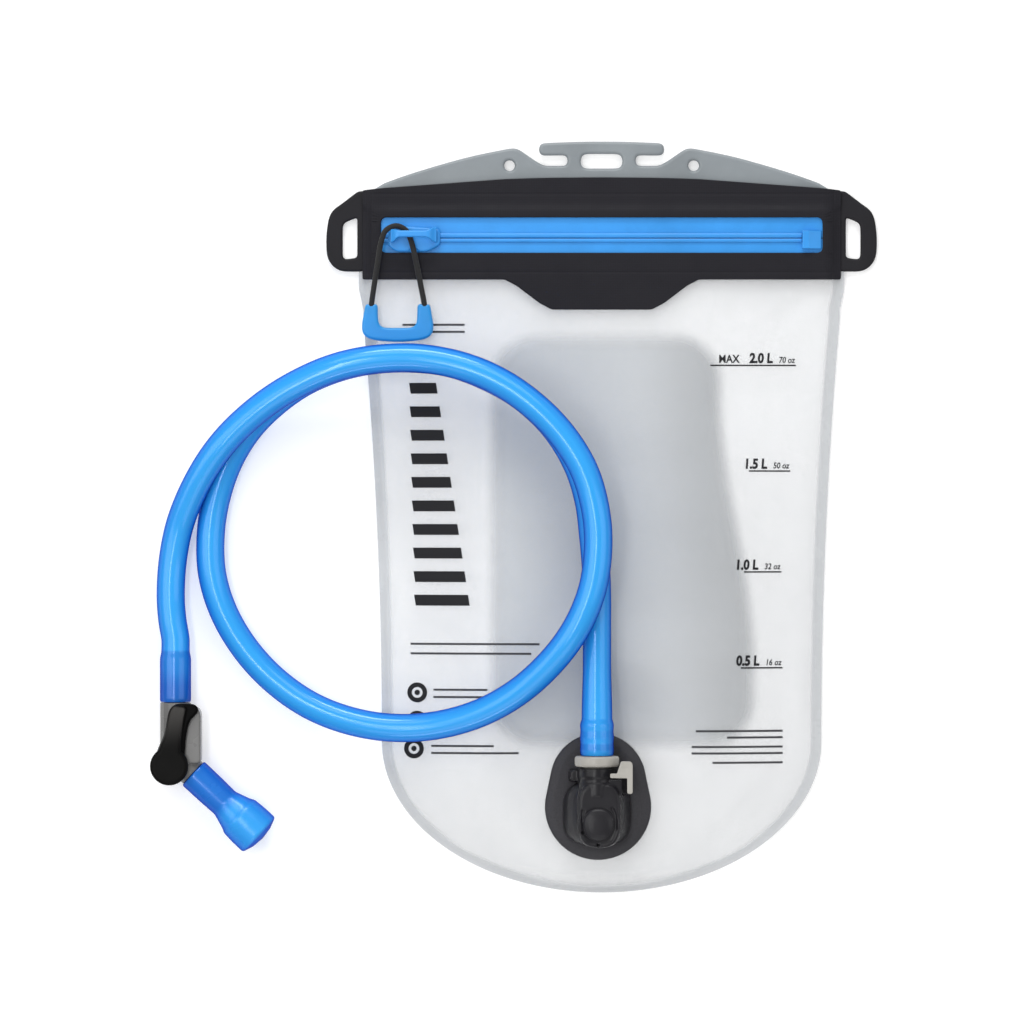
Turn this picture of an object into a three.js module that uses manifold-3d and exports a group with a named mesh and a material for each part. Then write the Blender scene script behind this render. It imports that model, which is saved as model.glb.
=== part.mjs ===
// A two litre hydration bladder, laid flat on its back with its front face up.
// Millimetres. +X is to the right, +Y points to the hanger and +Z is up, away from the back face.
// The origin is under the middle of the bag, on the surface that it lies on.
import * as THREE from 'three';
import { mergeVertices } from 'three/addons/utils/BufferGeometryUtils.js';
import Module from 'manifold-3d';

const wasm = await Module();
wasm.setup();

// ---- driving dimensions ----

const GAP = 0.3; // between pieces that touch

// the bag
const FILM = 0.6; // film thickness
const SEAM_Z = 1.5; // underside of the welded edge
const CROWN = 16; // rise of the front film over the edge
const WELD_SHARE = 0.955; // the weld is flat outside this share of the half width
const BAG = { side: 106, widest: 114.9, flare: 9.7, shoulderY: -108, depth: 73, frontTop: 118, backTop: 148 };

// the fabric band across the top, and what it holds
const BAND = { half: 115, thick: 1.2, bottom: 114.4, rise: 3, dip: 0.7 };
const TONGUE = { drop: 14.6, half: 47, slope: 23 };
const BAND_Z = SEAM_Z + 2 * FILM + 2 * GAP; // underside of the front band at its two ends
const WINDOW = { half: 106.3, low: 127.2, high: 144.2 };
const PANEL = { left: -57, right: 61, flare: 16, low: -114, high: 91, arch: 0.4 };
const HANGER = { z: SEAM_Z, thick: 2.4 };
const LOOP = { z: 1.2, thick: 2.4, inner: BAND.half + GAP };

// the zip
const ZIP_Y = 134.25; // the line where the two halves meet
const TAPE = { thick: 0.8, tuck: 2, z: BAND_Z + BAND.rise - GAP - 0.8 };
const TAPE_TOP = TAPE.z + TAPE.thick;
const CHAIN = { start: -105.5, end: 96.2, upper: 2.3, lower: 1.8, high: 1, low: 0.7 };
const STOP = { start: CHAIN.end + GAP, end: 105.6, low: 129.1, high: 137.8, rise: 3.4 };
const SLIDER = { start: -102.9, end: -77.7, low: 127.6, high: 140.2, top: TAPE_TOP + 2.8 };
const BRIDGE = { left: -101.5, right: -79.5, low: 134.4, high: 137.6, rise: 6.2, bar: 1.7, leg: 2.6 };

// the pull: a cord through the bridge and a moulded grip
const PULL = { cord: 1.35, z: 9.6, gripThick: 3.4, high: 101.9 };

// the drinking port
const PORT = { x: -1.9, lowY: -139.1, lowR: 25.5, highY: -126.8, highR: 23, seat: 13.5, base: 2.3 };
const BASE_Z = PORT.seat + GAP + 0.1;
const HOUSING_Z = BASE_Z + PORT.base + GAP;
const PLUG = { x: -2.6, z: 27.2, ring: 10.65, nose: 6.6, bore: 2.8, barb: 4.4 };
const PLUG_Y = { end: -146, ringLow: -119.2, ringHigh: -114.2, barb: -98 };
const SOCKET = { radius: 7, end: -151.5, mouth: -119.7, collar: 9 };
const LATCH = { z: PLUG.z + SOCKET.collar + GAP + 2.2, thick: 1.8, wall: 21 };

// the hose
const HOSE = { radius: 6.8, sides: 8, steps: 76 };
const PORT_END = { start: -113.9, end: -96, radius: 8.1 };
const VALVE_END = { start: -63.8, end: -88.8, radius: 7.35 };

// the shutoff valve and the bite valve at the end of the hose
const VALVE = { x: -204.9, z: 11.5, top: -89.1, tube: 7.5, bore: 3.2 };
const HUB = { x: -207.3, y: -119.3, radius: 9.2, chamber: 8.2, spool: 5.2, low: 2.6, high: 19.6 };
const OUTLET = { x: -196.5, y: -123.1, angle: -43 * (Math.PI / 180), tube: 7, barb: 4.5 };
const BITE = { neck: 7.55, neckLength: 21, flare: 8.6, mouth: 11.2, mouthLength: 13.4, bore: 4.9, lip: 2.5 };

// the hose's centre line, from the port round one and a half turns to the shutoff valve
const HOSE_ROUTE = [
  [-2.6, -95.7, 27.2], [-2.6, -84, 27.2], [-2.6, -55, 27.2], [-2.6, -38, 27.2], [-3.1, -24, 27.2],
  [-4.4, -9, 27.2], [-6.6, 8, 27.1], [-12, 25, 26.6], [-22.6, 42.5, 25.4], [-36.6, 56.2, 24],
  [-51.5, 65.5, 22.6], [-73, 73.7, 20.8], [-96, 76, 19.8], [-118, 73.8, 18.8], [-138, 67.2, 16.2],
  [-153, 58.2, 13.4], [-168.5, 43.9, 10.4], [-178.8, 28, 8.4], [-185.3, 10, 7.4], [-188.2, -8, 7.2],
  [-187.6, -27, 7.2], [-182.5, -44.5, 7.2], [-173, -61.4, 7.4], [-159.4, -76.8, 8.6],
  [-142, -89.5, 10.8], [-123.4, -97.2, 13.6], [-102, -101, 16.8], [-80, -99.9, 20],
  [-58.6, -93.8, 24.4], [-40.5, -83.6, 29.4], [-26.5, -71.2, 34.6], [-16, -58.2, 39],
  [-9, -45.5, 41.2], [-4.2, -31, 41.5], [-2.2, -12, 41.5], [-3.6, 4, 41.5], [-8.6, 21.5, 41.1],
  [-17.4, 36.6, 40.2], [-29.6, 50.2, 39.2], [-47, 63.2, 37.4], [-66, 71.6, 35.8], [-88, 75.8, 34.4],
  [-110, 75.1, 33.4], [-128, 71.2, 32], [-145, 64, 29.6], [-160.4, 54.6, 27], [-174.4, 42.9, 24],
  [-184, 32.3, 21.4], [-191.9, 20.6, 18], [-199, 6.6, 13.8], [-203.5, -6, 10.6], [-206.5, -22, 9], [-207.3, -38, 9.8],
  [-206.5, -49, 11.1], [-204.9, -59, 11.5], [-204.9, -63.5, 11.5],
];

// the pull cord's centre line, from one arm of the grip round under the bridge to the other
const CORD_ROUTE = [
  [-110.8, 101.6, 9.6], [-109.4, 112, 9.9], [-107.8, 122, 10.7], [-106.2, 131.6, 11.6],
  [-103.9, 137.6, 11.9], [-99.3, 139.9, 11.4], [-95.2, 138.6, 11], [-92.9, 135.8, 10.9],
  [-91.2, 131, 11], [-89.2, 122, 10.7], [-87.2, 112, 9.9], [-85.3, 101.6, 9.6],
];

// ---- small helpers ----

const smoothstep = (low, high, value) => THREE.MathUtils.smoothstep(value, low, high);

function volumeOf(position, index) {
  const corner = [new THREE.Vector3(), new THREE.Vector3(), new THREE.Vector3()];
  let volume = 0;
  for (let i = 0; i < index.length; i += 3) {
    corner.forEach((c, n) => c.fromArray(position, 3 * index[i + n]));
    volume += corner[0].dot(corner[1].cross(corner[2])) / 6;
  }
  return volume;
}

// one closed body: shared vertices merged, no empty triangles, faces pointing out
function closed(geometry) {
  const bare = geometry.clone();
  for (const name of Object.keys(bare.attributes)) {
    if (name !== 'position') bare.deleteAttribute(name);
  }
  const merged = mergeVertices(bare, 1e-4);
  const position = Float32Array.from(merged.attributes.position.array);
  const index = [];
  for (let i = 0; i < merged.index.count; i += 3) {
    const [a, b, c] = [0, 1, 2].map((n) => merged.index.getX(i + n));
    if (a !== b && b !== c && c !== a) index.push(a, b, c);
  }
  if (volumeOf(position, index) < 0) index.reverse();
  const result = new THREE.BufferGeometry();
  result.setAttribute('position', new THREE.BufferAttribute(position, 3));
  result.setIndex(index);
  return result;
}

function toSolid(geometry) {
  const body = closed(geometry);
  const mesh = new wasm.Mesh({
    numProp: 3,
    vertProperties: body.attributes.position.array,
    triVerts: Uint32Array.from(body.index.array),
  });
  return new wasm.Manifold(mesh);
}

function fromSolid(solid) {
  const mesh = solid.getMesh();
  const result = new THREE.BufferGeometry();
  result.setAttribute('position', new THREE.BufferAttribute(Float32Array.from(mesh.vertProperties), 3));
  result.setIndex(Array.from(mesh.triVerts));
  return result;
}

const union = (...shapes) => fromSolid(shapes.map(toSolid).reduce((a, b) => a.add(b)));

function cut(shape, ...tools) {
  return fromSolid(tools.map(toSolid).reduce((rest, tool) => rest.subtract(tool), toSolid(shape)));
}

// a closed outline from corners [x, y, how far back the corner's rounding starts]
function roundedShape(corners, Kind = THREE.Shape) {
  const shape = new Kind();
  const clockwise = THREE.ShapeUtils.area(corners.map(([x, y]) => new THREE.Vector2(x, y))) < 0;
  const turn = clockwise ? corners.toReversed() : corners;
  turn.forEach(([x, y, back], i) => {
    const here = new THREE.Vector2(x, y);
    const [before, after] = [-1, 1].map((step) => {
      const [nx, ny] = turn[(i + step + turn.length) % turn.length];
      const way = new THREE.Vector2(nx, ny).sub(here);
      return here.clone().add(way.setLength(Math.min(back, 0.45 * way.length())));
    });
    if (i === 0) shape.moveTo(before.x, before.y);
    else shape.lineTo(before.x, before.y);
    if (back > 0) shape.quadraticCurveTo(x, y, after.x, after.y);
  });
  shape.closePath();
  return shape;
}

const mirrored = (half) => [...half, ...half.toReversed().map(([x, y, back]) => [-x, y, back])];

function plate(shape, bottom, top, curveSegments = 3) {
  const options = { depth: top - bottom, bevelEnabled: false, curveSegments };
  return new THREE.ExtrudeGeometry(shape, options).translate(0, 0, bottom);
}

function box(low, high) {
  const size = high.map((value, i) => value - low[i]);
  const middle = high.map((value, i) => (value + low[i]) / 2);
  return new THREE.BoxGeometry(...size).translate(...middle);
}

// a round rod between two points
function rod(from, to, radius, sides = 16) {
  const [a, b] = [new THREE.Vector3(...from), new THREE.Vector3(...to)];
  const way = b.clone().sub(a);
  const geometry = new THREE.CylinderGeometry(radius, radius, way.length(), sides);
  const turn = new THREE.Quaternion().setFromUnitVectors(new THREE.Vector3(0, 1, 0), way.normalize());
  return geometry.applyQuaternion(turn).translate(...a.add(b).multiplyScalar(0.5));
}

// a turned piece about a line along Y through (x, z); the profile is [radius, y]
function turnedY(profile, x, z, sides = 16) {
  const points = profile.map(([radius, y]) => new THREE.Vector2(radius, y));
  return closed(new THREE.LatheGeometry(points, sides)).translate(x, 0, z);
}

const ring = (profile) => [...profile, profile[0]];

function tube(route, radius, sides, steps) {
  const points = route.map((point) => new THREE.Vector3(...point));
  const path = new THREE.CatmullRomCurve3(points, false, 'centripetal');
  const corners = Array.from({ length: sides }, (_, i) => {
    const angle = (2 * Math.PI * i) / sides;
    return new THREE.Vector2(radius * Math.cos(angle), radius * Math.sin(angle));
  });
  return new THREE.ExtrudeGeometry(new THREE.Shape(corners), { steps, extrudePath: path });
}

// a thin sheet on a grid: place gives a grid point's plan position, underside its height
function sheet(columns, rows, place, underside, thickness, keep = () => true) {
  const position = [];
  const index = [];
  const point = (i, j, top) => 2 * (i * (rows + 1) + j) + top;
  for (let i = 0; i <= columns; i += 1) {
    for (let j = 0; j <= rows; j += 1) {
      const [x, y] = place(i, j);
      const z = underside(x, y);
      position.push(x, y, z, x, y, z + thickness);
    }
  }
  const kept = (i, j) => i >= 0 && j >= 0 && i < columns && j < rows && keep(i, j);
  const quad = (a, b, c, d) => index.push(a, b, c, a, c, d);
  for (let i = 0; i < columns; i += 1) {
    for (let j = 0; j < rows; j += 1) {
      if (!kept(i, j)) continue;
      const corners = [[i, j], [i + 1, j], [i + 1, j + 1], [i, j + 1]];
      const beyond = [[i, j - 1], [i + 1, j], [i, j + 1], [i - 1, j]];
      quad(...corners.map(([p, q]) => point(p, q, 1)));
      quad(...corners.toReversed().map(([p, q]) => point(p, q, 0)));
      beyond.forEach(([p, q], n) => {
        if (kept(p, q)) return;
        const [from, to] = [corners[n], corners[(n + 1) % 4]];
        quad(point(...from, 0), point(...to, 0), point(...to, 1), point(...from, 1));
      });
    }
  }
  const geometry = new THREE.BufferGeometry();
  geometry.setAttribute('position', new THREE.Float32BufferAttribute(position, 3));
  geometry.setIndex(index);
  return closed(geometry);
}

// ---- the bag's form ----

function halfWidth(y) {
  const up = Math.max(0, (y - BAG.shoulderY) / 212);
  return Math.min(BAG.side + BAG.flare * up ** 2, BAG.widest);
}

// 0 along the middle and 1 on the bag's outline
function edgeShare(x, y) {
  if (y > BAG.shoulderY) return Math.abs(x) / halfWidth(y);
  return Math.hypot(x / BAG.side, (y - BAG.shoulderY) / BAG.depth);
}

function crown(x, y) {
  const across = Math.max(0, 1 - (edgeShare(x, y) / WELD_SHARE) ** 2.2) ** 0.8;
  const along = 1 - 0.85 * smoothstep(0, 100, y);
  return CROWN * across * along;
}

function distanceToPort(x, y) {
  const nearest = THREE.MathUtils.clamp(y, PORT.lowY, PORT.highY);
  return Math.hypot(x - PORT.x, y - nearest);
}

// the front film is flat under the port's flange
function frontUnderside(x, y) {
  const free = SEAM_Z + FILM + GAP + crown(x, y);
  const atSeam = smoothstep(WELD_SHARE - 0.1, WELD_SHARE, edgeShare(x, y));
  const away = Math.max(smoothstep(34, 62, distanceToPort(x, y)), atSeam);
  return THREE.MathUtils.lerp(PORT.seat - FILM, free, away);
}

function backUnderside(x, y) {
  const atEdge = smoothstep(0.8, 0.93, edgeShare(x, y));
  return SEAM_Z * Math.max(atEdge, smoothstep(80, 104, y));
}

const filmAngles = [90, 74, 66, 56, 45, 34, 24, 15, 7].map((degrees) => degrees * (Math.PI / 180));
const filmColumns = [...filmAngles.map((a) => -a), 0, ...filmAngles.toReversed()];

function film(top, rowShares, underside) {
  const place = (i, j) => {
    const bottom = BAG.shoulderY - BAG.depth * Math.cos(filmColumns[i]);
    const y = THREE.MathUtils.lerp(top, bottom, rowShares[j]);
    return [Math.sin(filmColumns[i]) * halfWidth(y), y];
  };
  return sheet(filmColumns.length - 1, rowShares.length - 1, place, underside, FILM);
}

function frontFilm() {
  const rows = [0, 0.08, 0.17, 0.27, 0.38, 0.5, 0.61, 0.7, 0.77, 0.84, 0.91, 0.955, 0.983, 1];
  const waterHole = rod([PORT.x, PORT.lowY, 0], [PORT.x, PORT.lowY, 40], 8, 12);
  return cut(film(BAG.frontTop, rows, frontUnderside), waterHole);
}

function backFilm() {
  const rows = [0, 0.13, 0.17, 0.21, 0.4, 0.62, 0.8, 0.93, 0.975, 1];
  return film(BAG.backTop, rows, backUnderside);
}

// the panel between the films: welded along its two long sides, arched between them, wider below
const panelRight = (y) => PANEL.right + PANEL.flare * smoothstep(-60, 70, -y);

function innerPanel() {
  const place = (i, j) => {
    const y = THREE.MathUtils.lerp(PANEL.low, PANEL.high, j / 7);
    return [THREE.MathUtils.lerp(PANEL.left, panelRight(y), i / 8), y];
  };
  const underside = (x, y) => {
    const middle = (PANEL.left + panelRight(y)) / 2;
    const arch = 1 - ((x - middle) / (panelRight(y) - middle)) ** 2;
    const nearPort = smoothstep(34, 62, distanceToPort(x, y));
    const overRearBand = SEAM_Z * smoothstep(30, 80, y);
    return FILM + GAP + overRearBand + PANEL.arch * arch * nearPort * crown(middle, y);
  };
  return sheet(8, 7, place, underside, FILM);
}

// ---- the band and the hanger ----

const bandTop = (x) => 163.6 - 6.1 * (Math.abs(x) / 114) ** 2.2;

function bandBottom(x) {
  const down = THREE.MathUtils.clamp((TONGUE.half - Math.abs(x)) / TONGUE.slope, 0, 1);
  return BAND.bottom - TONGUE.drop * (0.5 * down + 0.5 * smoothstep(0, 1, down));
}

const bandX = [-115, -109, -106.3, -47, -41, -35.5, -30, -24];
const bandColumns = [...bandX, 0, ...bandX.toReversed().map((x) => -x)];

function bandUnderside(x, y) {
  const inside = 1 - smoothstep(WINDOW.half + 2.7, BAND.half, Math.abs(x));
  const overHanger = smoothstep(WINDOW.high + 2.8, 151, y);
  return BAND_Z + BAND.rise * inside * (1 - BAND.dip * overHanger) + 0.9 * overHanger;
}

function frontBand() {
  const rows = (x) => [bandBottom(x), 121, WINDOW.low, WINDOW.high, WINDOW.high + 2.8, 151, bandTop(x)];
  const place = (i, j) => [bandColumns[i], rows(bandColumns[i])[j]];
  const keep = (i, j) => j !== 2 || bandColumns[i + 1] <= -WINDOW.half || bandColumns[i] >= WINDOW.half;
  return sheet(bandColumns.length - 1, 6, place, bandUnderside, BAND.thick, keep);
}

function rearBand() {
  const place = (i, j) => [bandColumns[i], j === 0 ? BAND.bottom : bandTop(bandColumns[i])];
  return sheet(bandColumns.length - 1, 1, place, () => 0, BAND.thick);
}

function hangerPlate() {
  const half = [
    [-100, 152, 4], [-114.4, 157.2, 1], [-94.5, 164.9, 12], [-64.3, 173.8, 12], [-41.3, 178.2, 3],
    [-31.1, 171.1, 3], [-27.5, 169.3, 2], [-16.5, 169.3, 2.5], [-16.5, 174.4, 2.5], [-30.2, 174.2, 3],
    [-30.2, 180.2, 3], [-10, 181, 8],
  ];
  const shape = roundedShape(mirrored(half));
  const slot = [[-10, 168, 3.4], [-10, 175, 3.4], [10, 175, 3.4], [10, 168, 3.4]];
  shape.holes.push(roundedShape(slot, THREE.Path));
  for (const x of [-44.4, 44.4]) shape.holes.push(new THREE.Path().absarc(x, 169.4, 2.9, 0, 2 * Math.PI));
  return plate(shape, HANGER.z, HANGER.z + HANGER.thick);
}

function sideLoop(side) {
  const outline = [[LOOP.inner, 118.3, 0], [127, 118.3, 4], [132.4, 124, 4], [133, 135.4, 6], [131, 147.8, 5],
    [117.4, 155, 2], [LOOP.inner, 155, 0]];
  const slot = [[117.8, 125, 1.5], [117.8, 144.4, 1.5], [124.8, 141.6, 2.5], [124.8, 124, 2.5]];
  const place = (corners) => corners.map(([x, y, back]) => [side * x, y, back]);
  const shape = roundedShape(place(outline));
  shape.holes.push(roundedShape(place(slot), THREE.Path));
  return plate(shape, LOOP.z, LOOP.z + LOOP.thick);
}

// ---- the zip ----

function zipTape(low, high) {
  return box([-WINDOW.half - TAPE.tuck, low, TAPE.z], [WINDOW.half + TAPE.tuck, high, TAPE_TOP]);
}

function zipChain(low, high, rise) {
  return box([CHAIN.start, low, TAPE_TOP + GAP], [CHAIN.end, high, TAPE_TOP + GAP + rise]);
}

// a plain block that slopes down to the right
function zipEndStop() {
  const bottom = TAPE_TOP + GAP;
  const top = bottom + STOP.rise;
  const side = [
    [STOP.start, bottom], [STOP.end, bottom], [STOP.end, bottom + 1],
    [STOP.start + 3, top], [STOP.start, top],
  ];
  return prismAlongY(side, STOP.low, STOP.high);
}

// an outline in X and Z, extruded from one Y to another
function prismAlongY(outline, low, high) {
  const shape = new THREE.Shape(outline.map(([x, z]) => new THREE.Vector2(x, z)));
  const geometry = new THREE.ExtrudeGeometry(shape, { depth: high - low, bevelEnabled: false });
  return geometry.rotateX(Math.PI / 2).translate(0, high, 0);
}

// a shell over the zip's two rails, pointed at both ends
function zipSlider() {
  const bottom = TAPE_TOP + GAP;
  const plan = [
    [SLIDER.start, 130.5, 1.5], [-99, SLIDER.low, 2], [-84, SLIDER.low, 2], [SLIDER.end, 131, 1.5],
    [SLIDER.end, 138.5, 1.5], [-83, 139.2, 1], [-97, SLIDER.high, 2], [SLIDER.start, 138, 1.5],
  ];
  const rails = box([-110, ZIP_Y - 2.35, 0], [-70, ZIP_Y + 2.85, bottom + 1.3]);
  return cut(plate(roundedShape(plan), bottom, SLIDER.top), rails);
}

// the arch over the slider that the cord runs through
function sliderBridge() {
  const bottom = SLIDER.top + GAP;
  const top = bottom + BRIDGE.rise;
  const inner = top - BRIDGE.bar;
  const { left, right, leg } = BRIDGE;
  const outline = [[left, bottom], [left + leg, bottom], [left + leg + 2, inner], [right - leg - 2, inner],
    [right - leg, bottom], [right, bottom], [right - 2.4, top], [left + 2.4, top]];
  return prismAlongY(outline, BRIDGE.low, BRIDGE.high);
}

// ---- the pull ----

function pullGrip() {
  const outline = [
    [-116, 86.4, 6.5], [-113.2, PULL.high, 1], [-108.3, PULL.high, 1], [-108, 90.4, 4.6], [-88.4, 90.4, 4.6],
    [-88.1, PULL.high, 1], [-83.1, PULL.high, 1], [-80.4, 86.4, 6.5], [-98.2, 84.2, 12],
  ];
  const half = PULL.gripThick / 2;
  const grip = plate(roundedShape(outline), PULL.z - half, PULL.z + half);
  const ends = [CORD_ROUTE[0], CORD_ROUTE.at(-1)];
  const sockets = ends.map(([x, y, z]) => rod([x, y - 4, z], [x, y + 2, z], PULL.cord + GAP, 8));
  return cut(grip, ...sockets);
}

// ---- the port ----

// the outline round two circles on one line, grown by a margin
function eggOutline(margin = 0) {
  const lean = Math.asin((PORT.lowR - PORT.highR) / (PORT.highY - PORT.lowY));
  const shape = new THREE.Shape();
  shape.absarc(PORT.x, PORT.highY, PORT.highR + margin, lean, Math.PI - lean);
  shape.absarc(PORT.x, PORT.lowY, PORT.lowR + margin, Math.PI - lean, 2 * Math.PI + lean);
  return shape;
}

function portBase() {
  const flange = plate(eggOutline(), BASE_Z, BASE_Z + PORT.base, 12);
  return cut(flange, rod([PORT.x, PORT.lowY, 0], [PORT.x, PORT.lowY, 40], 6, 12));
}

// stacked outlines: each level is [z, left, right, low, high, corner]
function stack(levels) {
  const sides = 20;
  const position = [];
  for (const [z, left, right, low, high, power] of levels) {
    for (let i = 0; i < sides; i += 1) {
      const angle = (2 * Math.PI * (i + 0.5)) / sides;
      const round = (value) => Math.sign(value) * Math.abs(value) ** power;
      const x = (left + right) / 2 + ((right - left) / 2) * round(Math.cos(angle));
      const y = (low + high) / 2 + ((high - low) / 2) * round(Math.sin(angle));
      position.push(x, y, z);
    }
  }
  const index = [];
  for (let level = 0; level + 1 < levels.length; level += 1) {
    for (let i = 0; i < sides; i += 1) {
      const [a, b] = [level * sides + i, level * sides + ((i + 1) % sides)];
      index.push(a, b, b + sides, a, b + sides, a + sides);
    }
  }
  const last = (levels.length - 1) * sides;
  for (let i = 1; i + 1 < sides; i += 1) index.push(0, i + 1, i, last, last + i, last + i + 1);
  const geometry = new THREE.BufferGeometry();
  geometry.setAttribute('position', new THREE.Float32BufferAttribute(position, 3));
  geometry.setIndex(index);
  return closed(geometry);
}

function portHousing() {
  const shell = stack([
    [HOUSING_Z, -18.9, 13.9, -157.2, -126, 0.6], [HOUSING_Z + 7, -17.6, 12.6, -156.8, -126, 0.6],
    [PLUG.z + 6, -13.4, 9.6, -156.4, -127, 0.6], [PLUG.z + 8.8, -11.5, 7.6, -155.4, -128, 0.6],
  ]);
  const collar = rod([PLUG.x, -133, PLUG.z], [PLUG.x, SOCKET.mouth, PLUG.z], SOCKET.collar, 20);
  const lug = box([3, -133, HOUSING_Z], [9, -125, PLUG.z + 8]);
  const socket = rod([PLUG.x, SOCKET.end, PLUG.z], [PLUG.x, SOCKET.mouth + 1, PLUG.z], SOCKET.radius, 20);
  const water = rod([PORT.x, PORT.lowY, HOUSING_Z - 1], [PORT.x, PORT.lowY, PLUG.z], 5, 12);
  const latchRoom = box([9.2, -133, LATCH.wall - 1.5], [20, -115, LATCH.z]);
  return cut(union(shell, collar, lug), socket, water, latchRoom);
}

function portCap() {
  const bottom = PLUG.z + 8.8 + GAP;
  return stack([
    [bottom, -9.4, 5.6, -154.4, -138.8, 0.8], [bottom + 1.4, -8.6, 4.8, -153.6, -139.6, 0.85],
    [bottom + 2.3, -5.6, 1.8, -150.6, -142.6, 0.9],
  ]);
}

// the self-closing valve behind the plug
function checkPoppet() {
  const front = PLUG_Y.end - GAP;
  const [back, disc] = [front - 3.4, front - 1.2];
  const profile = [[0, back], [1.2, back], [1.2, disc], [5.4, disc], [5.4, front], [0, front]];
  return turnedY(profile, PLUG.x, PLUG.z);
}

function checkSpring() {
  const [start, end] = [SOCKET.end + 0.7, PLUG_Y.end - GAP - 2.1];
  const turns = 3;
  const route = Array.from({ length: 12 * turns + 1 }, (_, i) => {
    const angle = (2 * Math.PI * i) / 12;
    const y = THREE.MathUtils.lerp(start, end, i / (12 * turns));
    return [PLUG.x + 3.2 * Math.cos(angle), y, PLUG.z + 3.2 * Math.sin(angle)];
  });
  return tube(route, 0.4, 5, 12 * turns);
}

// the release latch: an F of flat bars with a thumb wall down its right side
function latchClip() {
  const plan = [
    [8.4, -119, 0], [8.4, -116.2, 1], [14.2, -116.2, 2], [14.2, -131.7, 1], [11.6, -131.7, 1],
    [11.6, -124.2, 0], [3.5, -124.2, 0.6], [3.5, -122, 0.6], [11.6, -122, 0], [11.6, -119, 0],
  ];
  const bars = plate(roundedShape(plan), LATCH.z, LATCH.z + LATCH.thick);
  const wall = box([12, -131, LATCH.wall], [14, -117.6, LATCH.z + 0.5]);
  return union(bars, wall);
}

// ---- the plug and the hose ----

function hosePlug() {
  const { end, ringLow, ringHigh, barb } = PLUG_Y;
  const { bore, nose, ring: flange } = PLUG;
  const profile = ring([
    [bore, end], [nose - 0.8, end], [nose, end + 1.5], [nose, -136.8], [nose - 1.3, -136.8],
    [nose - 1.3, -134.6], [nose, -134.6], [nose, ringLow], [flange - 0.8, ringLow], [flange, ringLow + 1.2],
    [flange, ringHigh - 1.2], [flange - 0.8, ringHigh], [PLUG.barb - 0.4, ringHigh], [PLUG.barb, -106],
    [PLUG.barb - 0.5, -105.8], [PLUG.barb - 0.6, barb], [bore, barb],
  ]);
  return turnedY(profile, PLUG.x, PLUG.z, 20);
}

function roundRing(major, minor, sides) {
  return new THREE.TorusGeometry(major, minor, 6, sides);
}

function plugSeal() {
  return roundRing(PLUG.nose - 0.5, 0.6, 20).rotateX(Math.PI / 2).translate(PLUG.x, -135.7, PLUG.z);
}

// the hose's swollen end over a barb, with soft ridges
function hoseEnd(start, end, swollen, x, z) {
  const wall = 0.5 + PLUG.barb;
  const at = (share) => THREE.MathUtils.lerp(start, end, share);
  const ridges = [0.08, 0.22, 0.36, 0.5, 0.64, 0.78].map((share, i) => [swollen - 0.35 * (i % 2), at(share)]);
  const profile = ring([
    [wall, at(0)], [swollen - 0.3, at(0)], ...ridges,
    [HOSE.radius, at(0.97)], [HOSE.radius, at(1)], [wall, at(1)],
  ]);
  return turnedY(profile, x, z);
}

const hose = () => tube(HOSE_ROUTE, HOSE.radius, HOSE.sides, HOSE.steps);

// ---- the shutoff valve and the bite valve ----

// a point at a distance along the outlet from its ring
function alongOutlet(distance) {
  const { x, y, angle } = OUTLET;
  return [x + distance * Math.cos(angle), y + distance * Math.sin(angle), VALVE.z];
}

function valveBody() {
  const { x, z, top, tube: radius, bore } = VALVE;
  const inlet = rod([x, HUB.y, z], [x, top, z], radius);
  const inletBarb = rod([x, top - 2, z], [x, top + 17, z], PLUG.barb);
  const guard = roundedShape([
    [-203, -118, 1], [-192.4, -118, 2], [-192.4, -92, 4], [-198, -90.4, 2], [-203, -94, 1],
  ]);
  const chamber = rod([HUB.x, HUB.y, HUB.low], [HUB.x, HUB.y, HUB.high], HUB.chamber, 20);
  const outlet = rod(alongOutlet(-9), alongOutlet(0), OUTLET.tube);
  const outletBarb = rod(alongOutlet(-2), alongOutlet(15), OUTLET.barb, 12);
  const body = union(inlet, inletBarb, plate(guard, z - 6, z + 7.6), chamber, outlet, outletBarb);
  const spoolBore = rod([HUB.x, HUB.y, HUB.low + 1.4], [HUB.x, HUB.y, HUB.high + 1], HUB.spool + GAP, 20);
  const inletBore = rod([x, HUB.y + 3, z], [x, top + 18, z], bore, 12);
  const outletBore = rod(alongOutlet(-8), alongOutlet(16), bore - 0.4, 12);
  return cut(body, spoolBore, inletBore, outletBore);
}

// the turning core: cut away on one side where the water passes when the lever lies along the hose
function valveSpool() {
  const core = rod([HUB.x, HUB.y, HUB.low + 1.4 + GAP], [HUB.x, HUB.y, HUB.high + 0.5], HUB.spool, 20);
  const passage = box([HUB.x + 0.5, HUB.y - 9, VALVE.z - 3.2], [HUB.x + 9, HUB.y + 9, VALVE.z + 3.2]);
  return cut(core, passage);
}

function shutoffLever() {
  const { x, y, radius } = HUB;
  const arm = [
    [x - 7, y + 3, 0], [x - 5.6, y + 8.6, 4], [x - 2.4, y + 15, 4], [x - 0.4, y + 27, 3], [x + 3, y + 30, 2],
    [x + 12, y + 30, 2.5], [x + 14.3, y + 27.6, 1.5], [x + 13.6, y + 25.4, 1], [x + 9.6, y + 21.4, 3],
    [x + 8, y + 14, 4], [x + 7.4, y + 3, 0],
  ];
  const bottom = HUB.high + GAP + 0.5;
  const disc = rod([x, y, bottom], [x, y, bottom + 4.4], radius, 24);
  const top = union(disc, plate(roundedShape(arm), bottom, bottom + 3.6));
  const seat = rod([x, y, bottom - 1], [x, y, HUB.high + 0.5 + GAP], HUB.spool + GAP, 20);
  return cut(top, seat);
}

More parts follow.
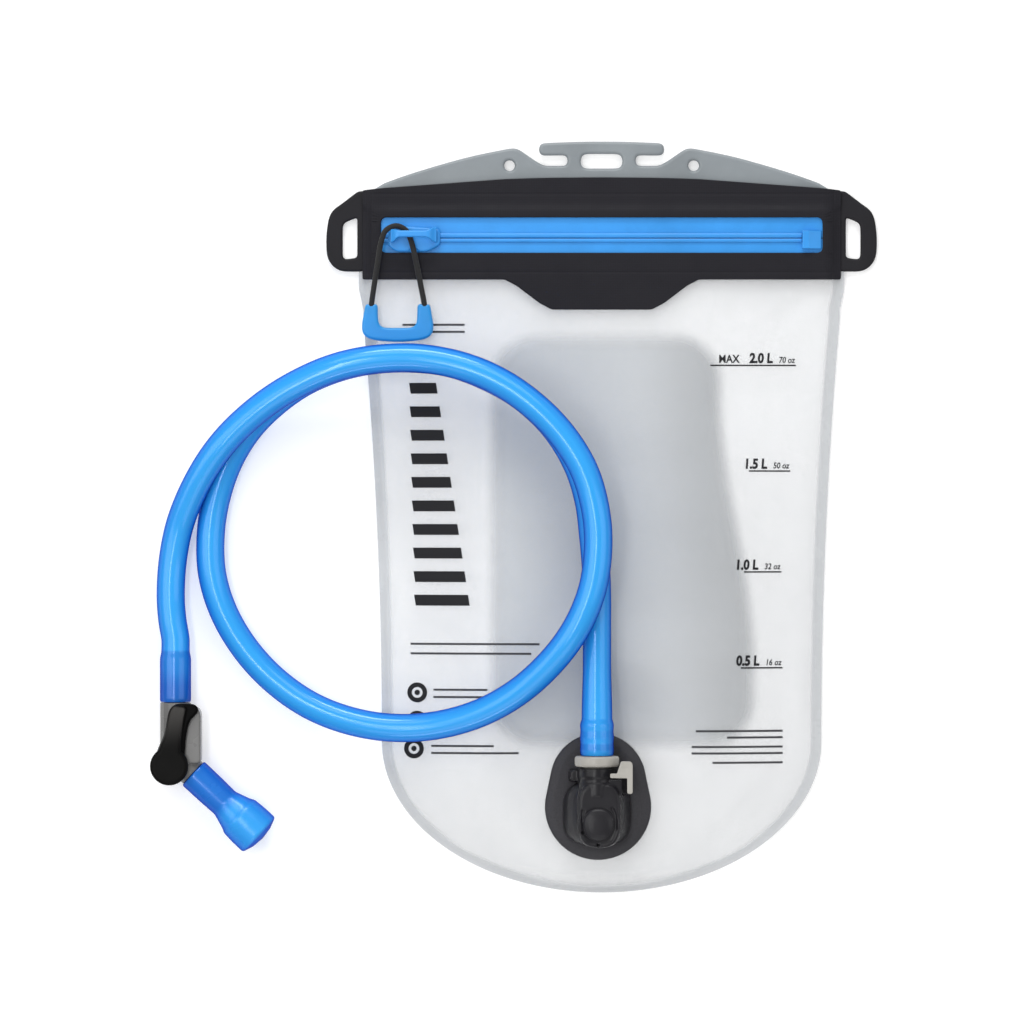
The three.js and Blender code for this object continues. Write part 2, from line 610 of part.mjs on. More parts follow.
// a soft cup: the neck fits over the outlet's barb and the far end is the mouthpiece
function biteValve() {
  const { neck, neckLength, flare, mouth, mouthLength, bore, lip } = BITE;
  const shoulder = neckLength + flare;
  const end = shoulder + mouthLength;
  const profile = [
    [0, neckLength - 3], [bore, neckLength - 4.4], [bore, 0], [neck - 0.5, 0], [neck, 0.8],
    [neck, neckLength], [mouth - 1.2, shoulder - 0.8], [mouth, shoulder + 0.6], [mouth, end - 1.2],
    [mouth - 1.6, end], [mouth / 2, end + 0.5 * lip * 0.5], [0, end + 0.4 * lip],
  ];
  const points = profile.map(([radius, y]) => new THREE.Vector2(radius, y));
  const cup = closed(new THREE.LatheGeometry(points, 20));
  return cup.rotateZ(OUTLET.angle - Math.PI / 2).translate(...alongOutlet(GAP));
}

// ---- the whole, with each piece's own material ----

const object = new THREE.Group();

function add(name, geometry, color, roughness, opacity = 1) {
  const body = closed(geometry);
  body.computeVertexNormals();
  const material = new THREE.MeshStandardMaterial({ color, roughness, metalness: 0, opacity });
  material.transparent = opacity < 1;
  const mesh = new THREE.Mesh(body, material);
  mesh.name = name;
  object.add(mesh);
}

const FILM_CLEAR = 0xe9ebee;
const PANEL_GREY = 0xc4c9cd;
const FABRIC_BLACK = 0x2c2b30;
const PLATE_GREY = 0xa9adb3;
const ZIP_BLUE = 0x3296ee;
const HOSE_BLUE = 0x2f8ff2;
const MOULDED_BLACK = 0x38373c;
const LATCH_GREY = 0xaaa7a1;
const SEAL_BLACK = 0x1c1c1e;
const STEEL = 0x9a9ca0;

add('back_film', backFilm(), FILM_CLEAR, 0.35, 0.5);
add('inner_panel', innerPanel(), PANEL_GREY, 0.6);
add('front_film', frontFilm(), FILM_CLEAR, 0.35, 0.5);
add('rear_band', rearBand(), FABRIC_BLACK, 0.8);
add('front_band', frontBand(), FABRIC_BLACK, 0.8);
add('hanger_plate', hangerPlate(), PLATE_GREY, 0.5);
add('side_loop_left', sideLoop(-1), FABRIC_BLACK, 0.7);
add('side_loop_right', sideLoop(1), FABRIC_BLACK, 0.7);

add('zip_tape_upper', zipTape(ZIP_Y + GAP / 2, WINDOW.high + TAPE.tuck), ZIP_BLUE, 0.5);
add('zip_tape_lower', zipTape(WINDOW.low - TAPE.tuck, ZIP_Y - GAP / 2), ZIP_BLUE, 0.5);
add('zip_chain_upper', zipChain(ZIP_Y + GAP / 2, ZIP_Y + GAP / 2 + CHAIN.upper, CHAIN.high), ZIP_BLUE, 0.4);
add('zip_chain_lower', zipChain(ZIP_Y - GAP / 2 - CHAIN.lower, ZIP_Y - GAP / 2, CHAIN.low), ZIP_BLUE, 0.4);
add('zip_end_stop', zipEndStop(), ZIP_BLUE, 0.4);
add('zip_slider', zipSlider(), ZIP_BLUE, 0.4);
add('slider_bridge', sliderBridge(), ZIP_BLUE, 0.4);
add('pull_cord', tube(CORD_ROUTE, PULL.cord, 8, 30), SEAL_BLACK, 0.8);
add('pull_grip', pullGrip(), ZIP_BLUE, 0.45);

add('port_base', portBase(), MOULDED_BLACK, 0.6);
add('port_housing', portHousing(), MOULDED_BLACK, 0.5);
add('port_cap', portCap(), MOULDED_BLACK, 0.45);
add('check_poppet', checkPoppet(), LATCH_GREY, 0.5);
add('check_spring', checkSpring(), STEEL, 0.3);
add('latch_clip', latchClip(), LATCH_GREY, 0.5);

add('hose_plug', hosePlug(), LATCH_GREY, 0.5);
add('plug_seal', plugSeal(), SEAL_BLACK, 0.4);
add('hose_end_port', hoseEnd(PORT_END.start, PORT_END.end, PORT_END.radius, PLUG.x, PLUG.z), HOSE_BLUE, 0.25);
add('hose', hose(), HOSE_BLUE, 0.15, 0.85);
const valveHoseEnd = hoseEnd(VALVE_END.end, VALVE_END.start, VALVE_END.radius, VALVE.x, VALVE.z);
add('hose_end_valve', valveHoseEnd, HOSE_BLUE, 0.25);
add('valve_body', valveBody(), LATCH_GREY, 0.5);
add('valve_spool', valveSpool(), LATCH_GREY, 0.5);
add('shutoff_lever', shutoffLever(), SEAL_BLACK, 0.35);
add('bite_valve', biteValve(), HOSE_BLUE, 0.4);

export default object;
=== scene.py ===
"""The looks of a hydration bladder that lies on its back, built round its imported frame.

Metres, +X to the right, +Y towards the hanger, +Z up out of the front face.
"""

from math import cos, exp, hypot, pi, radians, sin

import bmesh
import bpy
import numpy as np
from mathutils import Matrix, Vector


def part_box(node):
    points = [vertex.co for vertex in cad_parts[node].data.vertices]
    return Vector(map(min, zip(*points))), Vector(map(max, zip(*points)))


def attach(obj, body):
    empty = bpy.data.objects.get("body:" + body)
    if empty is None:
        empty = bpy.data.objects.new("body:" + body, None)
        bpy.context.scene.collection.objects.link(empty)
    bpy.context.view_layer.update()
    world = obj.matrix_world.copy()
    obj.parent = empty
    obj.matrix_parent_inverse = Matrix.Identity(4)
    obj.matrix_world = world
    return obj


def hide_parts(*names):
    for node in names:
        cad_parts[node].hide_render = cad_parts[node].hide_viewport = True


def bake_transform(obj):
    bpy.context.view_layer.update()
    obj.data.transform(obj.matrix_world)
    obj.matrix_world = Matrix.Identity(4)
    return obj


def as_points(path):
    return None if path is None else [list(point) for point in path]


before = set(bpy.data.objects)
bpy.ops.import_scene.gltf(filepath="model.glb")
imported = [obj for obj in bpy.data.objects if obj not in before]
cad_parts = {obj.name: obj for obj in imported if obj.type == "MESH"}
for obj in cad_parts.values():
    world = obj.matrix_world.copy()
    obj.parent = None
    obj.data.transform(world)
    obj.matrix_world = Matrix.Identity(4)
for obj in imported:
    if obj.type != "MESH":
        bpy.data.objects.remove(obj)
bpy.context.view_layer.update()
MM = 0.001
ALONG_Y = (0, 1, 0)
UP = (0, 0, 1)


# ---- outlines, paths and profiles: lists of points ----

def ease(low, high, value):
    """From 0 at low to 1 at high, with soft ends; low may be the greater of the two."""
    share = min(1, max(0, (value - low) / (high - low)))
    return share * share * (3 - 2 * share)


def between(a, b, share):
    return a + (b - a) * share


def metres(points):
    """Points given in millimetres, as vectors in metres."""
    return [Vector(point) * MM for point in points]


def turns(count):
    return [2 * pi * k / count for k in range(count)]


def softened(points, cut, passes=3, closed=True):
    """The same line as vectors, its corners cut back again and again, at first by a cut in millimetres."""
    points = [Vector(point) for point in points]
    for _ in range(passes):
        result = []
        for i, here in enumerate(points):
            if not closed and i in (0, len(points) - 1):
                result.append(here)
                continue
            for other in (points[i - 1], points[(i + 1) % len(points)]):
                way = other - here
                result.append(here + way * min(0.25, cut * MM / max(way.length, 1e-9)))
        points = result
        cut /= 2
    return points


def rounded(corners, segments=8):
    """A closed outline from corners (x, y, how far back the corner's rounding starts)."""
    points = []
    for i, (x, y, back) in enumerate(corners):
        here = Vector((x, y))
        ends = []
        for near in (corners[i - 1], corners[(i + 1) % len(corners)]):
            way = Vector(near[:2]) - here
            ends.append(here + way.normalized() * min(back, 0.45 * way.length))
        for step in range(segments + 1):
            share = step / segments
            points.append(ends[0].lerp(here, share).lerp(here.lerp(ends[1], share), share))
    return points


def outlines_of(node, cut):
    """The outlines of a CAD node's upward faces, softened at their corners, the largest first."""
    work = copy_of(node)
    work.normal_update()
    upward = {face for face in work.faces if face.normal.z > 0.5}
    ahead = {}
    for edge in work.edges:
        inside = [face for face in edge.link_faces if face in upward]
        if len(inside) != 1:
            continue
        corners = list(inside[0].verts)
        a, b = edge.verts
        if corners[(corners.index(a) + 1) % len(corners)] is not b:
            a, b = b, a
        ahead[a] = b
    loops = []
    while ahead:
        start, here = ahead.popitem()
        loop = [start]
        while here is not start:
            loop.append(here)
            here = ahead.pop(here)
        loops.append(softened([vert.co[:2] for vert in loop], cut))
    work.free()
    return sorted(loops, key=lambda loop: -abs(area_of(loop)))


def area_of(loop):
    return sum(a.x * b.y - b.x * a.y for a, b in zip(loop, loop[1:] + loop[:1])) / 2


def smooth_path(points, spacing):
    """Points close together on a centripetal Catmull-Rom curve through the given ones."""
    points = [Vector(point) for point in points]
    guide = [2 * points[0] - points[1], *points, 2 * points[-1] - points[-2]]
    result = [points[0]]
    for four in zip(guide, guide[1:], guide[2:], guide[3:]):
        times = [0]
        for a, b in zip(four, four[1:]):
            times.append(times[-1] + (b - a).length ** 0.5)
        steps = max(1, round((four[2] - four[1]).length / spacing))
        for step in range(1, steps + 1):
            t = between(times[1], times[2], step / steps)
            line = four
            for reach in (1, 2):
                line = [a.lerp(b, (t - times[i]) / (times[i + reach] - times[i]))
                        for i, (a, b) in enumerate(zip(line, line[1:]))]
            result.append(line[0].lerp(line[1], step / steps))
    return result


def length_of(path):
    return sum((b - a).length for a, b in zip(path, path[1:]))


def edge_profile(bottom, top, radius, under=None, steps=4):
    """(inset, height) up the side of a plate, its edges round by radii in millimetres."""
    under = (radius if under is None else under) * MM
    radius *= MM
    quarter = [k / steps * pi / 2 for k in range(steps + 1)]
    low = [(under * (1 - sin(turn)), bottom + under * (1 - cos(turn))) for turn in quarter]
    high = [(radius * (1 - cos(turn)), top - radius * (1 - sin(turn))) for turn in quarter]
    inner = 0.35 * MM
    return [(under + inner, bottom), *low, *high, (radius + inner, top)]


# ---- meshes ----

def mesh_of(work, name="part"):
    """A bmesh as a mesh; the bmesh is freed."""
    mesh = bpy.data.meshes.new(name)
    work.to_mesh(mesh)
    work.free()
    return mesh


def object_of(mesh, name="part"):
    made = bpy.data.objects.new(name, mesh)
    bpy.context.scene.collection.objects.link(made)
    return made


def piece(name, work, material, body="bag", angle=38, replaces=None):
    """A bmesh as a finished piece of the object, riding on a CAD body in place of the node of its name."""
    is_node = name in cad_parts
    mesh = mesh_of(work, name)
    mesh.materials.append(material)
    mesh.shade_smooth()
    mesh.set_sharp_from_angle(angle=radians(angle))
    made = object_of(mesh, name + "_fine" if is_node else name)
    if body:
        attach(made, body)
    if is_node:
        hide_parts(*(replaces or [name]))
    return made


def marked(made, name, values):
    """Gives each vertex of a piece a value that its material reads."""
    made.data.attributes.new(name, "FLOAT", "POINT").data.foreach_set("value", values)


def wall(work, near, far):
    """Faces between two rings of vertices."""
    for i in range(len(near)):
        work.faces.new((near[i - 1], near[i], far[i], far[i - 1]))


def skin(rings, caps=True):
    """A closed body through rings of points; without caps, its last ring joins its first."""
    work = bmesh.new()
    verts = [[work.verts.new(point) for point in ring] for ring in rings]
    for near, far in zip(verts, verts[1:]):
        wall(work, near, far)
    if caps:
        work.faces.new(reversed(verts[0]))
        work.faces.new(verts[-1])
    else:
        wall(work, verts[-1], verts[0])
    return work


def tidied(work, dist=1e-6):
    bmesh.ops.remove_doubles(work, verts=work.verts, dist=dist)
    bmesh.ops.dissolve_degenerate(work, edges=work.edges, dist=dist / 2)
    bmesh.ops.recalc_face_normals(work, faces=work.faces)
    return work


def tube(path, radius_at, sides):
    """A round body along a path; radius_at gives the radius from the distance along it."""
    tangents = [(b - a).normalized() for a, b in zip([path[0], *path], [*path[1:], path[-1]])]
    side = tangents[0].orthogonal().normalized()
    rings = []
    along = 0
    for i, (here, tangent) in enumerate(zip(path, tangents)):
        if i:
            along += (here - path[i - 1]).length
            side = (tangents[i - 1].rotation_difference(tangent) @ side).normalized()
        up = tangent.cross(side)
        radius = radius_at(along)
        rings.append([here + radius * (cos(turn) * side + sin(turn) * up) for turn in turns(sides)])
    return tidied(skin(rings), 1e-7)


def turned(profile, start, direction, sides=56):
    """A turned body; the profile is (radius, distance along), from axis to axis or closed on itself."""
    direction = Vector(direction).normalized()
    side = direction.orthogonal().normalized()
    up = direction.cross(side)
    rings = []
    for radius, along in profile:
        centre = Vector(start) + direction * along
        rings.append([centre + radius * (cos(turn) * side + sin(turn) * up) for turn in turns(sides)])
    open_ended = profile[0][0] < 1e-7 and profile[-1][0] < 1e-7
    return tidied(skin(rings, open_ended))


def rod(start, direction, radius, length, sides=56):
    return turned([(0, 0), (radius, 0), (radius, length), (0, length)], start, direction, sides)


def soft_profile(points, cut=0.5, closed=False):
    pairs = softened(points, cut, 3, closed)
    return [(max(0.0, point.x), point.y) for point in pairs]


def inward_of(loop):
    """The way in from each point of an outline, longer at sharp corners."""
    inward = []
    for before, here, after in zip([loop[-1], *loop], loop, [*loop[1:], loop[0]]):
        a = (here - before).normalized()
        b = (after - here).normalized()
        middle = Vector((-a.y - b.y, a.x + b.x)).normalized()
        inward.append(middle / max(0.6, middle.dot(Vector((-a.y, a.x)))))
    return inward


def plate(loops, profile, lines_x=(), lines_y=(), drape=None):
    """A plate inside outlines, with the side that the profile gives, cut along lines and then draped."""
    work = bmesh.new()
    caps = {0: [], -1: []}
    for number, loop in enumerate(loops):
        if (area_of(loop) > 0) != (number == 0):
            loop = loop[::-1]
        inward = inward_of(loop)
        rings = []
        for inset, height in profile:
            ring = [here + way * inset for here, way in zip(loop, inward)]
            rings.append([work.verts.new((*point, height)) for point in ring])
        for near, far in zip(rings, rings[1:]):
            wall(work, near, far)
        for level, edges in caps.items():
            ring = rings[level]
            edges += [work.edges.get((ring[i - 1], ring[i])) for i in range(len(ring))]
    for edges in caps.values():
        bmesh.ops.triangle_fill(work, use_beauty=True, edges=edges)
    cuts = [((1, 0, 0), place) for place in lines_x] + [((0, 1, 0), place) for place in lines_y]
    for normal, place in cuts:
        everything = [*work.verts, *work.edges, *work.faces]
        point = Vector(normal) * place
        bmesh.ops.bisect_plane(work, geom=everything, dist=1e-7, plane_co=point, plane_no=normal)
    tidied(work)
    if drape:
        for vert in work.verts:
            vert.co.z += drape(vert.co.x, vert.co.y)
    return work


def steps_between(low, high, spacing):
    count = max(1, round((high - low) / spacing))
    return [between(low, high, i / count) for i in range(count + 1)]


def film_sheet(columns, rows, place, underside, thickness, keep=lambda x, y: True):
    """A thin closed sheet on a grid of plan positions, over its underside's height."""
    work = bmesh.new()
    grid = [[place(i, j) for j in range(rows + 1)] for i in range(columns + 1)]
    lower, upper = ([[work.verts.new((x, y, underside(x, y) + rise)) for x, y in line] for line in grid]
                    for rise in (0, thickness))
    above = {}
    for i in range(columns):
        for j in range(rows):
            if not keep(*[(a + b) / 2 for a, b in zip(grid[i][j], grid[i + 1][j + 1])]):
                continue
            corners = [(i, j), (i + 1, j), (i + 1, j + 1), (i, j + 1)]
            work.faces.new([upper[p][q] for p, q in corners])
            work.faces.new([lower[p][q] for p, q in reversed(corners)])
            above.update({lower[p][q]: upper[p][q] for p, q in corners})
    rim = [edge.verts[:] for edge in work.edges if edge.is_boundary and edge.verts[0] in above]
    for a, b in rim:
        work.faces.new((a, b, above[b], above[a]))
    bmesh.ops.delete(work, geom=[vert for vert in work.verts if not vert.link_faces], context="VERTS")
    bmesh.ops.recalc_face_normals(work, faces=work.faces)
    return work


def applied(work, *modifiers):
    """The bmesh after modifiers, each (type, settings)."""
    scratch = object_of(mesh_of(work))
    for kind, settings in modifiers:
        modifier = scratch.modifiers.new(kind, kind)
        for key, value in settings.items():
            setattr(modifier, key, value)
    result = bmesh.new()
    result.from_object(scratch, bpy.context.evaluated_depsgraph_get())
    bpy.data.objects.remove(scratch)
    return result


def joined(parts):
    """Several bmeshes in one."""
    whole = bmesh.new()
    for part in parts:
        whole.from_mesh(mesh_of(part))
    return whole


def moulding(parts, voxel, smoothing, cuts=()):
    """Closed bodies grown into one moulding with soft edges, less the cuts; the voxel is in millimetres."""
    remesh = ("REMESH", {"mode": "VOXEL", "voxel_size": voxel * MM})
    whole = applied(joined(parts), remesh)
    for cut in cuts:
        whole = less(whole, cut)
    if cuts:
        whole = applied(whole, remesh)
    return applied(whole, ("SMOOTH", {"factor": 0.5, "iterations": smoothing}))


def less(whole, cut):
    tool = object_of(mesh_of(cut))
    whole = applied(whole, ("BOOLEAN", {"operation": "DIFFERENCE", "object": tool, "solver": "EXACT"}))
    bpy.data.objects.remove(tool)
    return whole


def copy_of(node):
    work = bmesh.new()
    work.from_mesh(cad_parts[node].data)
    bmesh.ops.remove_doubles(work, verts=work.verts, dist=1e-6)
    return work


def block(low, high):
    work = bmesh.new()
    bmesh.ops.create_cube(work, size=1)
    for vert in work.verts:
        vert.co = Vector(between(a, b, share + 0.5) for a, b, share in zip(low, high, vert.co))
    return work


# ---- materials ----

class Look:
    """A material in the making; its methods give the sockets that feed its shader."""

    def __init__(self, name):
        self.material = bpy.data.materials.new(name)
        self.material.use_nodes = True
        self.tree = self.material.node_tree

    def feed(self, node, inputs):
        """Links each input that is another node's socket, and sets each other one."""
        for key, value in inputs.items():
            if isinstance(value, bpy.types.NodeSocket):
                self.tree.links.new(value, node.inputs[key])
            else:
                node.inputs[key].default_value = value

    def node(self, kind, inputs, output, **settings):
        node = self.tree.nodes.new("ShaderNode" + kind)
        for key, value in settings.items():
            setattr(node, key, value)
        self.feed(node, inputs)
        return node.outputs[output]

    def place(self, stretch=(1, 1, 1)):
        where = self.node("TexCoord", {}, "Object")
        return self.node("Mapping", {"Vector": where, "Scale": stretch}, "Vector")

    def attribute(self, name):
        return self.node("Attribute", {}, "Fac", attribute_name=name)

    def noise(self, scale, detail=3, stretch=(1, 1, 1), roughness=0.55):
        inputs = {"Vector": self.place(stretch), "Scale": scale, "Detail": detail, "Roughness": roughness}
        return self.node("TexNoise", inputs, "Fac")

    def wave(self, direction, stretch, scale, distortion, detail_scale=1):
        inputs = {"Vector": self.place(stretch), "Scale": scale, "Distortion": distortion}
        inputs["Detail Scale"] = detail_scale
        return self.node("TexWave", inputs, "Fac", bands_direction=direction)

    def maths(self, operation, a, b):
        return self.node("Math", {0: a, 1: b}, 0, operation=operation)

    def ramp(self, value, first, last, low=0.3, high=0.7):
        """A colour or grey that runs from first to last as value goes from low to high."""
        colour = self.node("ValToRGB", {"Fac": value}, "Color")
        for element, place, shade in zip(colour.node.color_ramp.elements, (low, high), (first, last)):
            element.position = place
            element.color = (*(shade if isinstance(shade, tuple) else (shade,) * 3), 1)
        return colour

    def bump(self, height, strength, distance):
        return self.node("Bump", {"Height": height, "Strength": strength, "Distance": distance}, "Normal")

    def finished(self, inputs):
        """The material, with its shader's sockets fed."""
        self.feed(self.tree.nodes["Principled BSDF"], inputs)
        return self.material


def shades(colour, spread):
    return [tuple(channel * (1 + side * spread) for channel in colour) for side in (-1, 1)]


def moulded(name, colour, roughness, spread=0.08, depth=0.02 * MM, specular=0.5):
    """Moulded plastic: a fine grain, a slow drift of shade and a gloss that isn't quite even."""
    look = Look(name)
    drift = look.noise(45, 4)
    return look.finished({
        "Base Color": look.ramp(drift, *shades(colour, spread)),
        "Roughness": look.ramp(drift, roughness - 0.05, roughness + 0.05),
        "Specular IOR Level": specular,
        "Normal": look.bump(look.noise(2600, 2), 0.35, depth),
    })


def lever_plastic(name, painted_light_face_colour):
    """Black glossy sides under a satin face with painted light: the face greys towards its far end, where
    light catches it.
    """
    look = Look(name)
    return look.finished({
        "Base Color": look.ramp(look.attribute("face"), 0.0015, painted_light_face_colour, 0, 1),
        "Roughness": look.ramp(look.noise(60), 0.3, 0.42),
        "Specular IOR Level": 0.04,
        "Normal": look.bump(look.noise(2600, 2), 0.35, 0.02 * MM),
    })


def speckled(name, colour, roughness):
    """Matte moulding with a fine bright and dark speckle in it."""
    look = Look(name)
    fleck = look.noise(1500, 3, roughness=0.8)
    return look.finished({
        "Base Color": look.ramp(fleck, *shades(colour, 0.28), 0.34, 0.68),
        "Roughness": roughness,
        "Normal": look.bump(fleck, 0.3, 0.05 * MM),
    })


def laminated_fabric(name, colour):
    """Fabric with a film over it: a fine weave that shows through, soft sheen and slow waves."""
    look = Look(name)
    threads = [look.wave(direction, (1, 1, 1), 380, 0.6, 2) for direction in ("X", "Y")]
    weave = look.maths("MULTIPLY", look.maths("MULTIPLY", *threads), 0.7)
    fibres = look.maths("MULTIPLY", look.noise(900, 4, (1, 6, 1)), 0.5)
    height = look.maths("ADD", weave, fibres)
    return look.finished({
        "Base Color": look.ramp(height, *shades(colour, 0.25), 0.2, 0.8),
        "Roughness": look.ramp(look.noise(60), 0.55, 0.68),
        "Specular IOR Level": 0.18,
        "Sheen Weight": 0.03,
        "Sheen Roughness": 0.5,
        "Normal": look.bump(height, 0.5, 0.06 * MM),
    })


def clear_film(name, colour, weld_colour, low, high):
    """Milky film: see-through, clouded more along its weld, with slow waves in its surface."""
    look = Look(name)
    weld = look.attribute("weld")
    haze = look.ramp(look.noise(14, 3, (1, 0.45, 1)), low, high, 0.25, 0.75)
    return look.finished({
        "Base Color": look.ramp(weld, colour, weld_colour, 0, 1),
        "Alpha": look.maths("ADD", haze, look.maths("MULTIPLY", weld, 0.2)),
        "Roughness": look.ramp(look.noise(90), 0.2, 0.34),
        "Specular IOR Level": 0.4,
        "Normal": look.bump(look.noise(34, 2, (1, 0.4, 1)), 0.3, 0.5 * MM),
    })


def inner_film(name, colour, painted_shade_colour):
    """The panel inside the bag: matte, with soft cross bands, painted shade that darkens it towards its right
    side, and fading out at its rim.
    """
    look = Look(name)
    drift = look.maths("MULTIPLY", look.noise(11, 2, (0.35, 2.2, 1)), 0.35)
    # Painted shade towards the panel's right side, plus a slow random drift.
    painted_shade_and_drift = look.maths("ADD", look.maths("MULTIPLY", look.attribute("shade"), 0.8), drift)
    return look.finished({
        "Base Color": look.ramp(painted_shade_and_drift, colour, painted_shade_colour, 0, 1),
        "Alpha": look.attribute("fade"),
        "Roughness": 0.6,
        "Normal": look.bump(look.noise(300), 0.2, 0.1 * MM),
    })


def tube_plastic(name, colour, over_barb, roughness):
    """Soft clear plastic: its skin deepens the colour at its sides; darker over a barb."""
    look = Look(name)
    return look.finished({
        "Base Color": look.ramp(look.attribute("barb"), colour, over_barb, 0, 1),
        "Roughness": look.ramp(look.noise(35), roughness - 0.04, roughness + 0.04),
        "Subsurface Weight": 0.1,
        "Subsurface Radius": (0.3, 0.6, 1.0),
        "Subsurface Scale": 3 * MM,
        "Specular IOR Level": 1.0,
        "Coat Weight": 1.0,
        "Coat IOR": 1.02,
        "Coat Tint": (0.43, 0.51, 0.8, 1),
        "Normal": look.bump(look.noise(60, 2), 0.05, 0.1 * MM),
    })


def braid(name, colour):
    """Braided cord: two sets of slanting strands over each other."""
    look = Look(name)
    strands = [look.wave("DIAGONAL", (700, side * 420, side * 700), 1, 1.2) for side in (1, -1)]
    height = look.maths("MULTIPLY", *strands)
    return look.finished({
        "Base Color": look.ramp(height, *shades(colour, 0.45), 0.05, 0.6),
        "Roughness": 0.8,
        "Sheen Weight": 0.1,
        "Normal": look.bump(height, 0.6, 0.15 * MM),
    })


def drawn_steel(name):
    look = Look(name)
    return look.finished({
        "Metallic": 1,
        "Base Color": look.ramp(look.noise(600), (0.5, 0.5, 0.52), (0.62, 0.62, 0.63)),
        "Roughness": look.ramp(look.noise(900), 0.25, 0.4),
    })


def plain_floor(name):
    look = Look(name)
    return look.finished({
        "Base Color": look.ramp(look.noise(3), 0.75, 0.77),
        "Roughness": 0.9,
        "Specular IOR Level": 0.1,
        "Emission Color": (1, 1, 1, 1),
        "Emission Strength": 0.36,
    })


FILM = clear_film("film", (0.76, 0.77, 0.78), (0.62, 0.635, 0.65), 0.20, 0.27)
# The panel's second colour is painted shade, towards its right side.
PANEL = inner_film("panel", (0.55, 0.58, 0.61), (0.25, 0.275, 0.295))
FABRIC = laminated_fabric("band_fabric", (0.0105, 0.0100, 0.0140))
HANGER = moulded("hanger_plastic", (0.205, 0.228, 0.243), 0.42)
LOOP = moulded("loop_plastic", (0.0105, 0.0100, 0.0125), 0.55, spread=0.15, specular=0.2)
ZIP = moulded("zip_plastic", (0.022, 0.262, 0.69), 0.4)
GRIP = moulded("grip_plastic", (0.010, 0.250, 0.61), 0.42, depth=0.03 * MM)
PORT = moulded("port_plastic", (0.0115, 0.0110, 0.0135), 0.32, spread=0.2, specular=0.26)
FLANGE = speckled("port_flange", (0.024, 0.023, 0.028), 0.66)
WARM_GREY = moulded("warm_grey_plastic", (0.36, 0.345, 0.315), 0.42)
VALVE_GREY = moulded("valve_plastic", (0.125, 0.124, 0.122), 0.3)
# The face colour is painted light, greying the arm's face towards its far end.
LEVER = lever_plastic("lever_plastic", (0.05, 0.048, 0.046))
SEAL = moulded("seal_rubber", (0.012, 0.012, 0.013), 0.6)
INK = moulded("print_ink", (0.010, 0.010, 0.012), 0.6, specular=0.2)
PALE_INK = moulded("pale_print_ink", (0.05, 0.05, 0.055), 0.6, specular=0.2)
CORD = braid("cord_braid", (0.007, 0.0065, 0.006))
STEEL = drawn_steel("spring_steel")
HOSE = tube_plastic("hose_tube", (0.065, 0.67, 1.0), (0.02, 0.24, 0.60), 0.19)
SILICONE = tube_plastic("bite_silicone", (0.065, 0.65, 1.0), (0.02, 0.31, 0.72), 0.27)


# ---- camera, light and floor ----

VIEW = {"x": -43.2 * MM, "y": 2.4 * MM, "width": 0.4915, "height": 15 * MM, "lens": 200}


def make_camera():
    data = bpy.data.cameras.new("camera")
    data.lens = VIEW["lens"]
    data.sensor_width = 36
    data.clip_end = 20
    camera = object_of(data, "camera")
    away = VIEW["width"] * data.lens / data.sensor_width
    camera.location = (VIEW["x"], VIEW["y"], VIEW["height"] + away)
    bpy.context.scene.camera = camera


def area_light(name, place, size, power, target=(VIEW["x"], VIEW["y"], 0)):
    data = bpy.data.lights.new(name, "AREA")
    data.shape = "RECTANGLE"
    data.size, data.size_y = size
    data.energy = power
    light = object_of(data, name)
    light.location = place
    light.rotation_euler = (Vector(target) - Vector(place)).to_track_quat("-Z", "Y").to_euler()


def make_studio():
    scene = bpy.context.scene
    scene.view_settings.view_transform = "Standard"
    scene.cycles.transparent_max_bounces = 32  # light goes down through two films and a panel, and up again
    world = bpy.data.worlds.new("studio")
    world.use_nodes = True
    background = world.node_tree.nodes["Background"]
    background.inputs["Color"].default_value = (1, 1, 1, 1)
    background.inputs["Strength"].default_value = 0.4
    scene.world = world
    area_light("back_box", (-0.1, 1.15, 1.15), (1.4, 0.6), 7)
    area_light("left_box", (-1.2, 0.1, 1.15), (0.7, 1.2), 6)
    area_light("right_box", (1.1, 0, 1.15), (0.7, 1.2), 3.5)
    area_light("front_box", (-0.05, -1.15, 1.15), (1.4, 0.6), 3.5)
    area_light("back_strip", (-0.1, 1.35, 0.62), (0.7, 0.2), 9)
    area_light("front_strip", (-0.1, -1.35, 0.62), (0.7, 0.14), 2.5)
    area_light("overhead_strip", (-0.45, -0.04, 1.5), (0.9, 0.14), 5, (-0.2, -0.04, 0))
    floor = bmesh.new()
    bmesh.ops.create_grid(floor, x_segments=2, y_segments=2, size=4)
    ground = piece("floor", floor, plain_floor("floor"), body=None)
    ground.location.z = -0.2 * MM


make_camera()
make_studio()


# ---- the hose and the pull cord ----

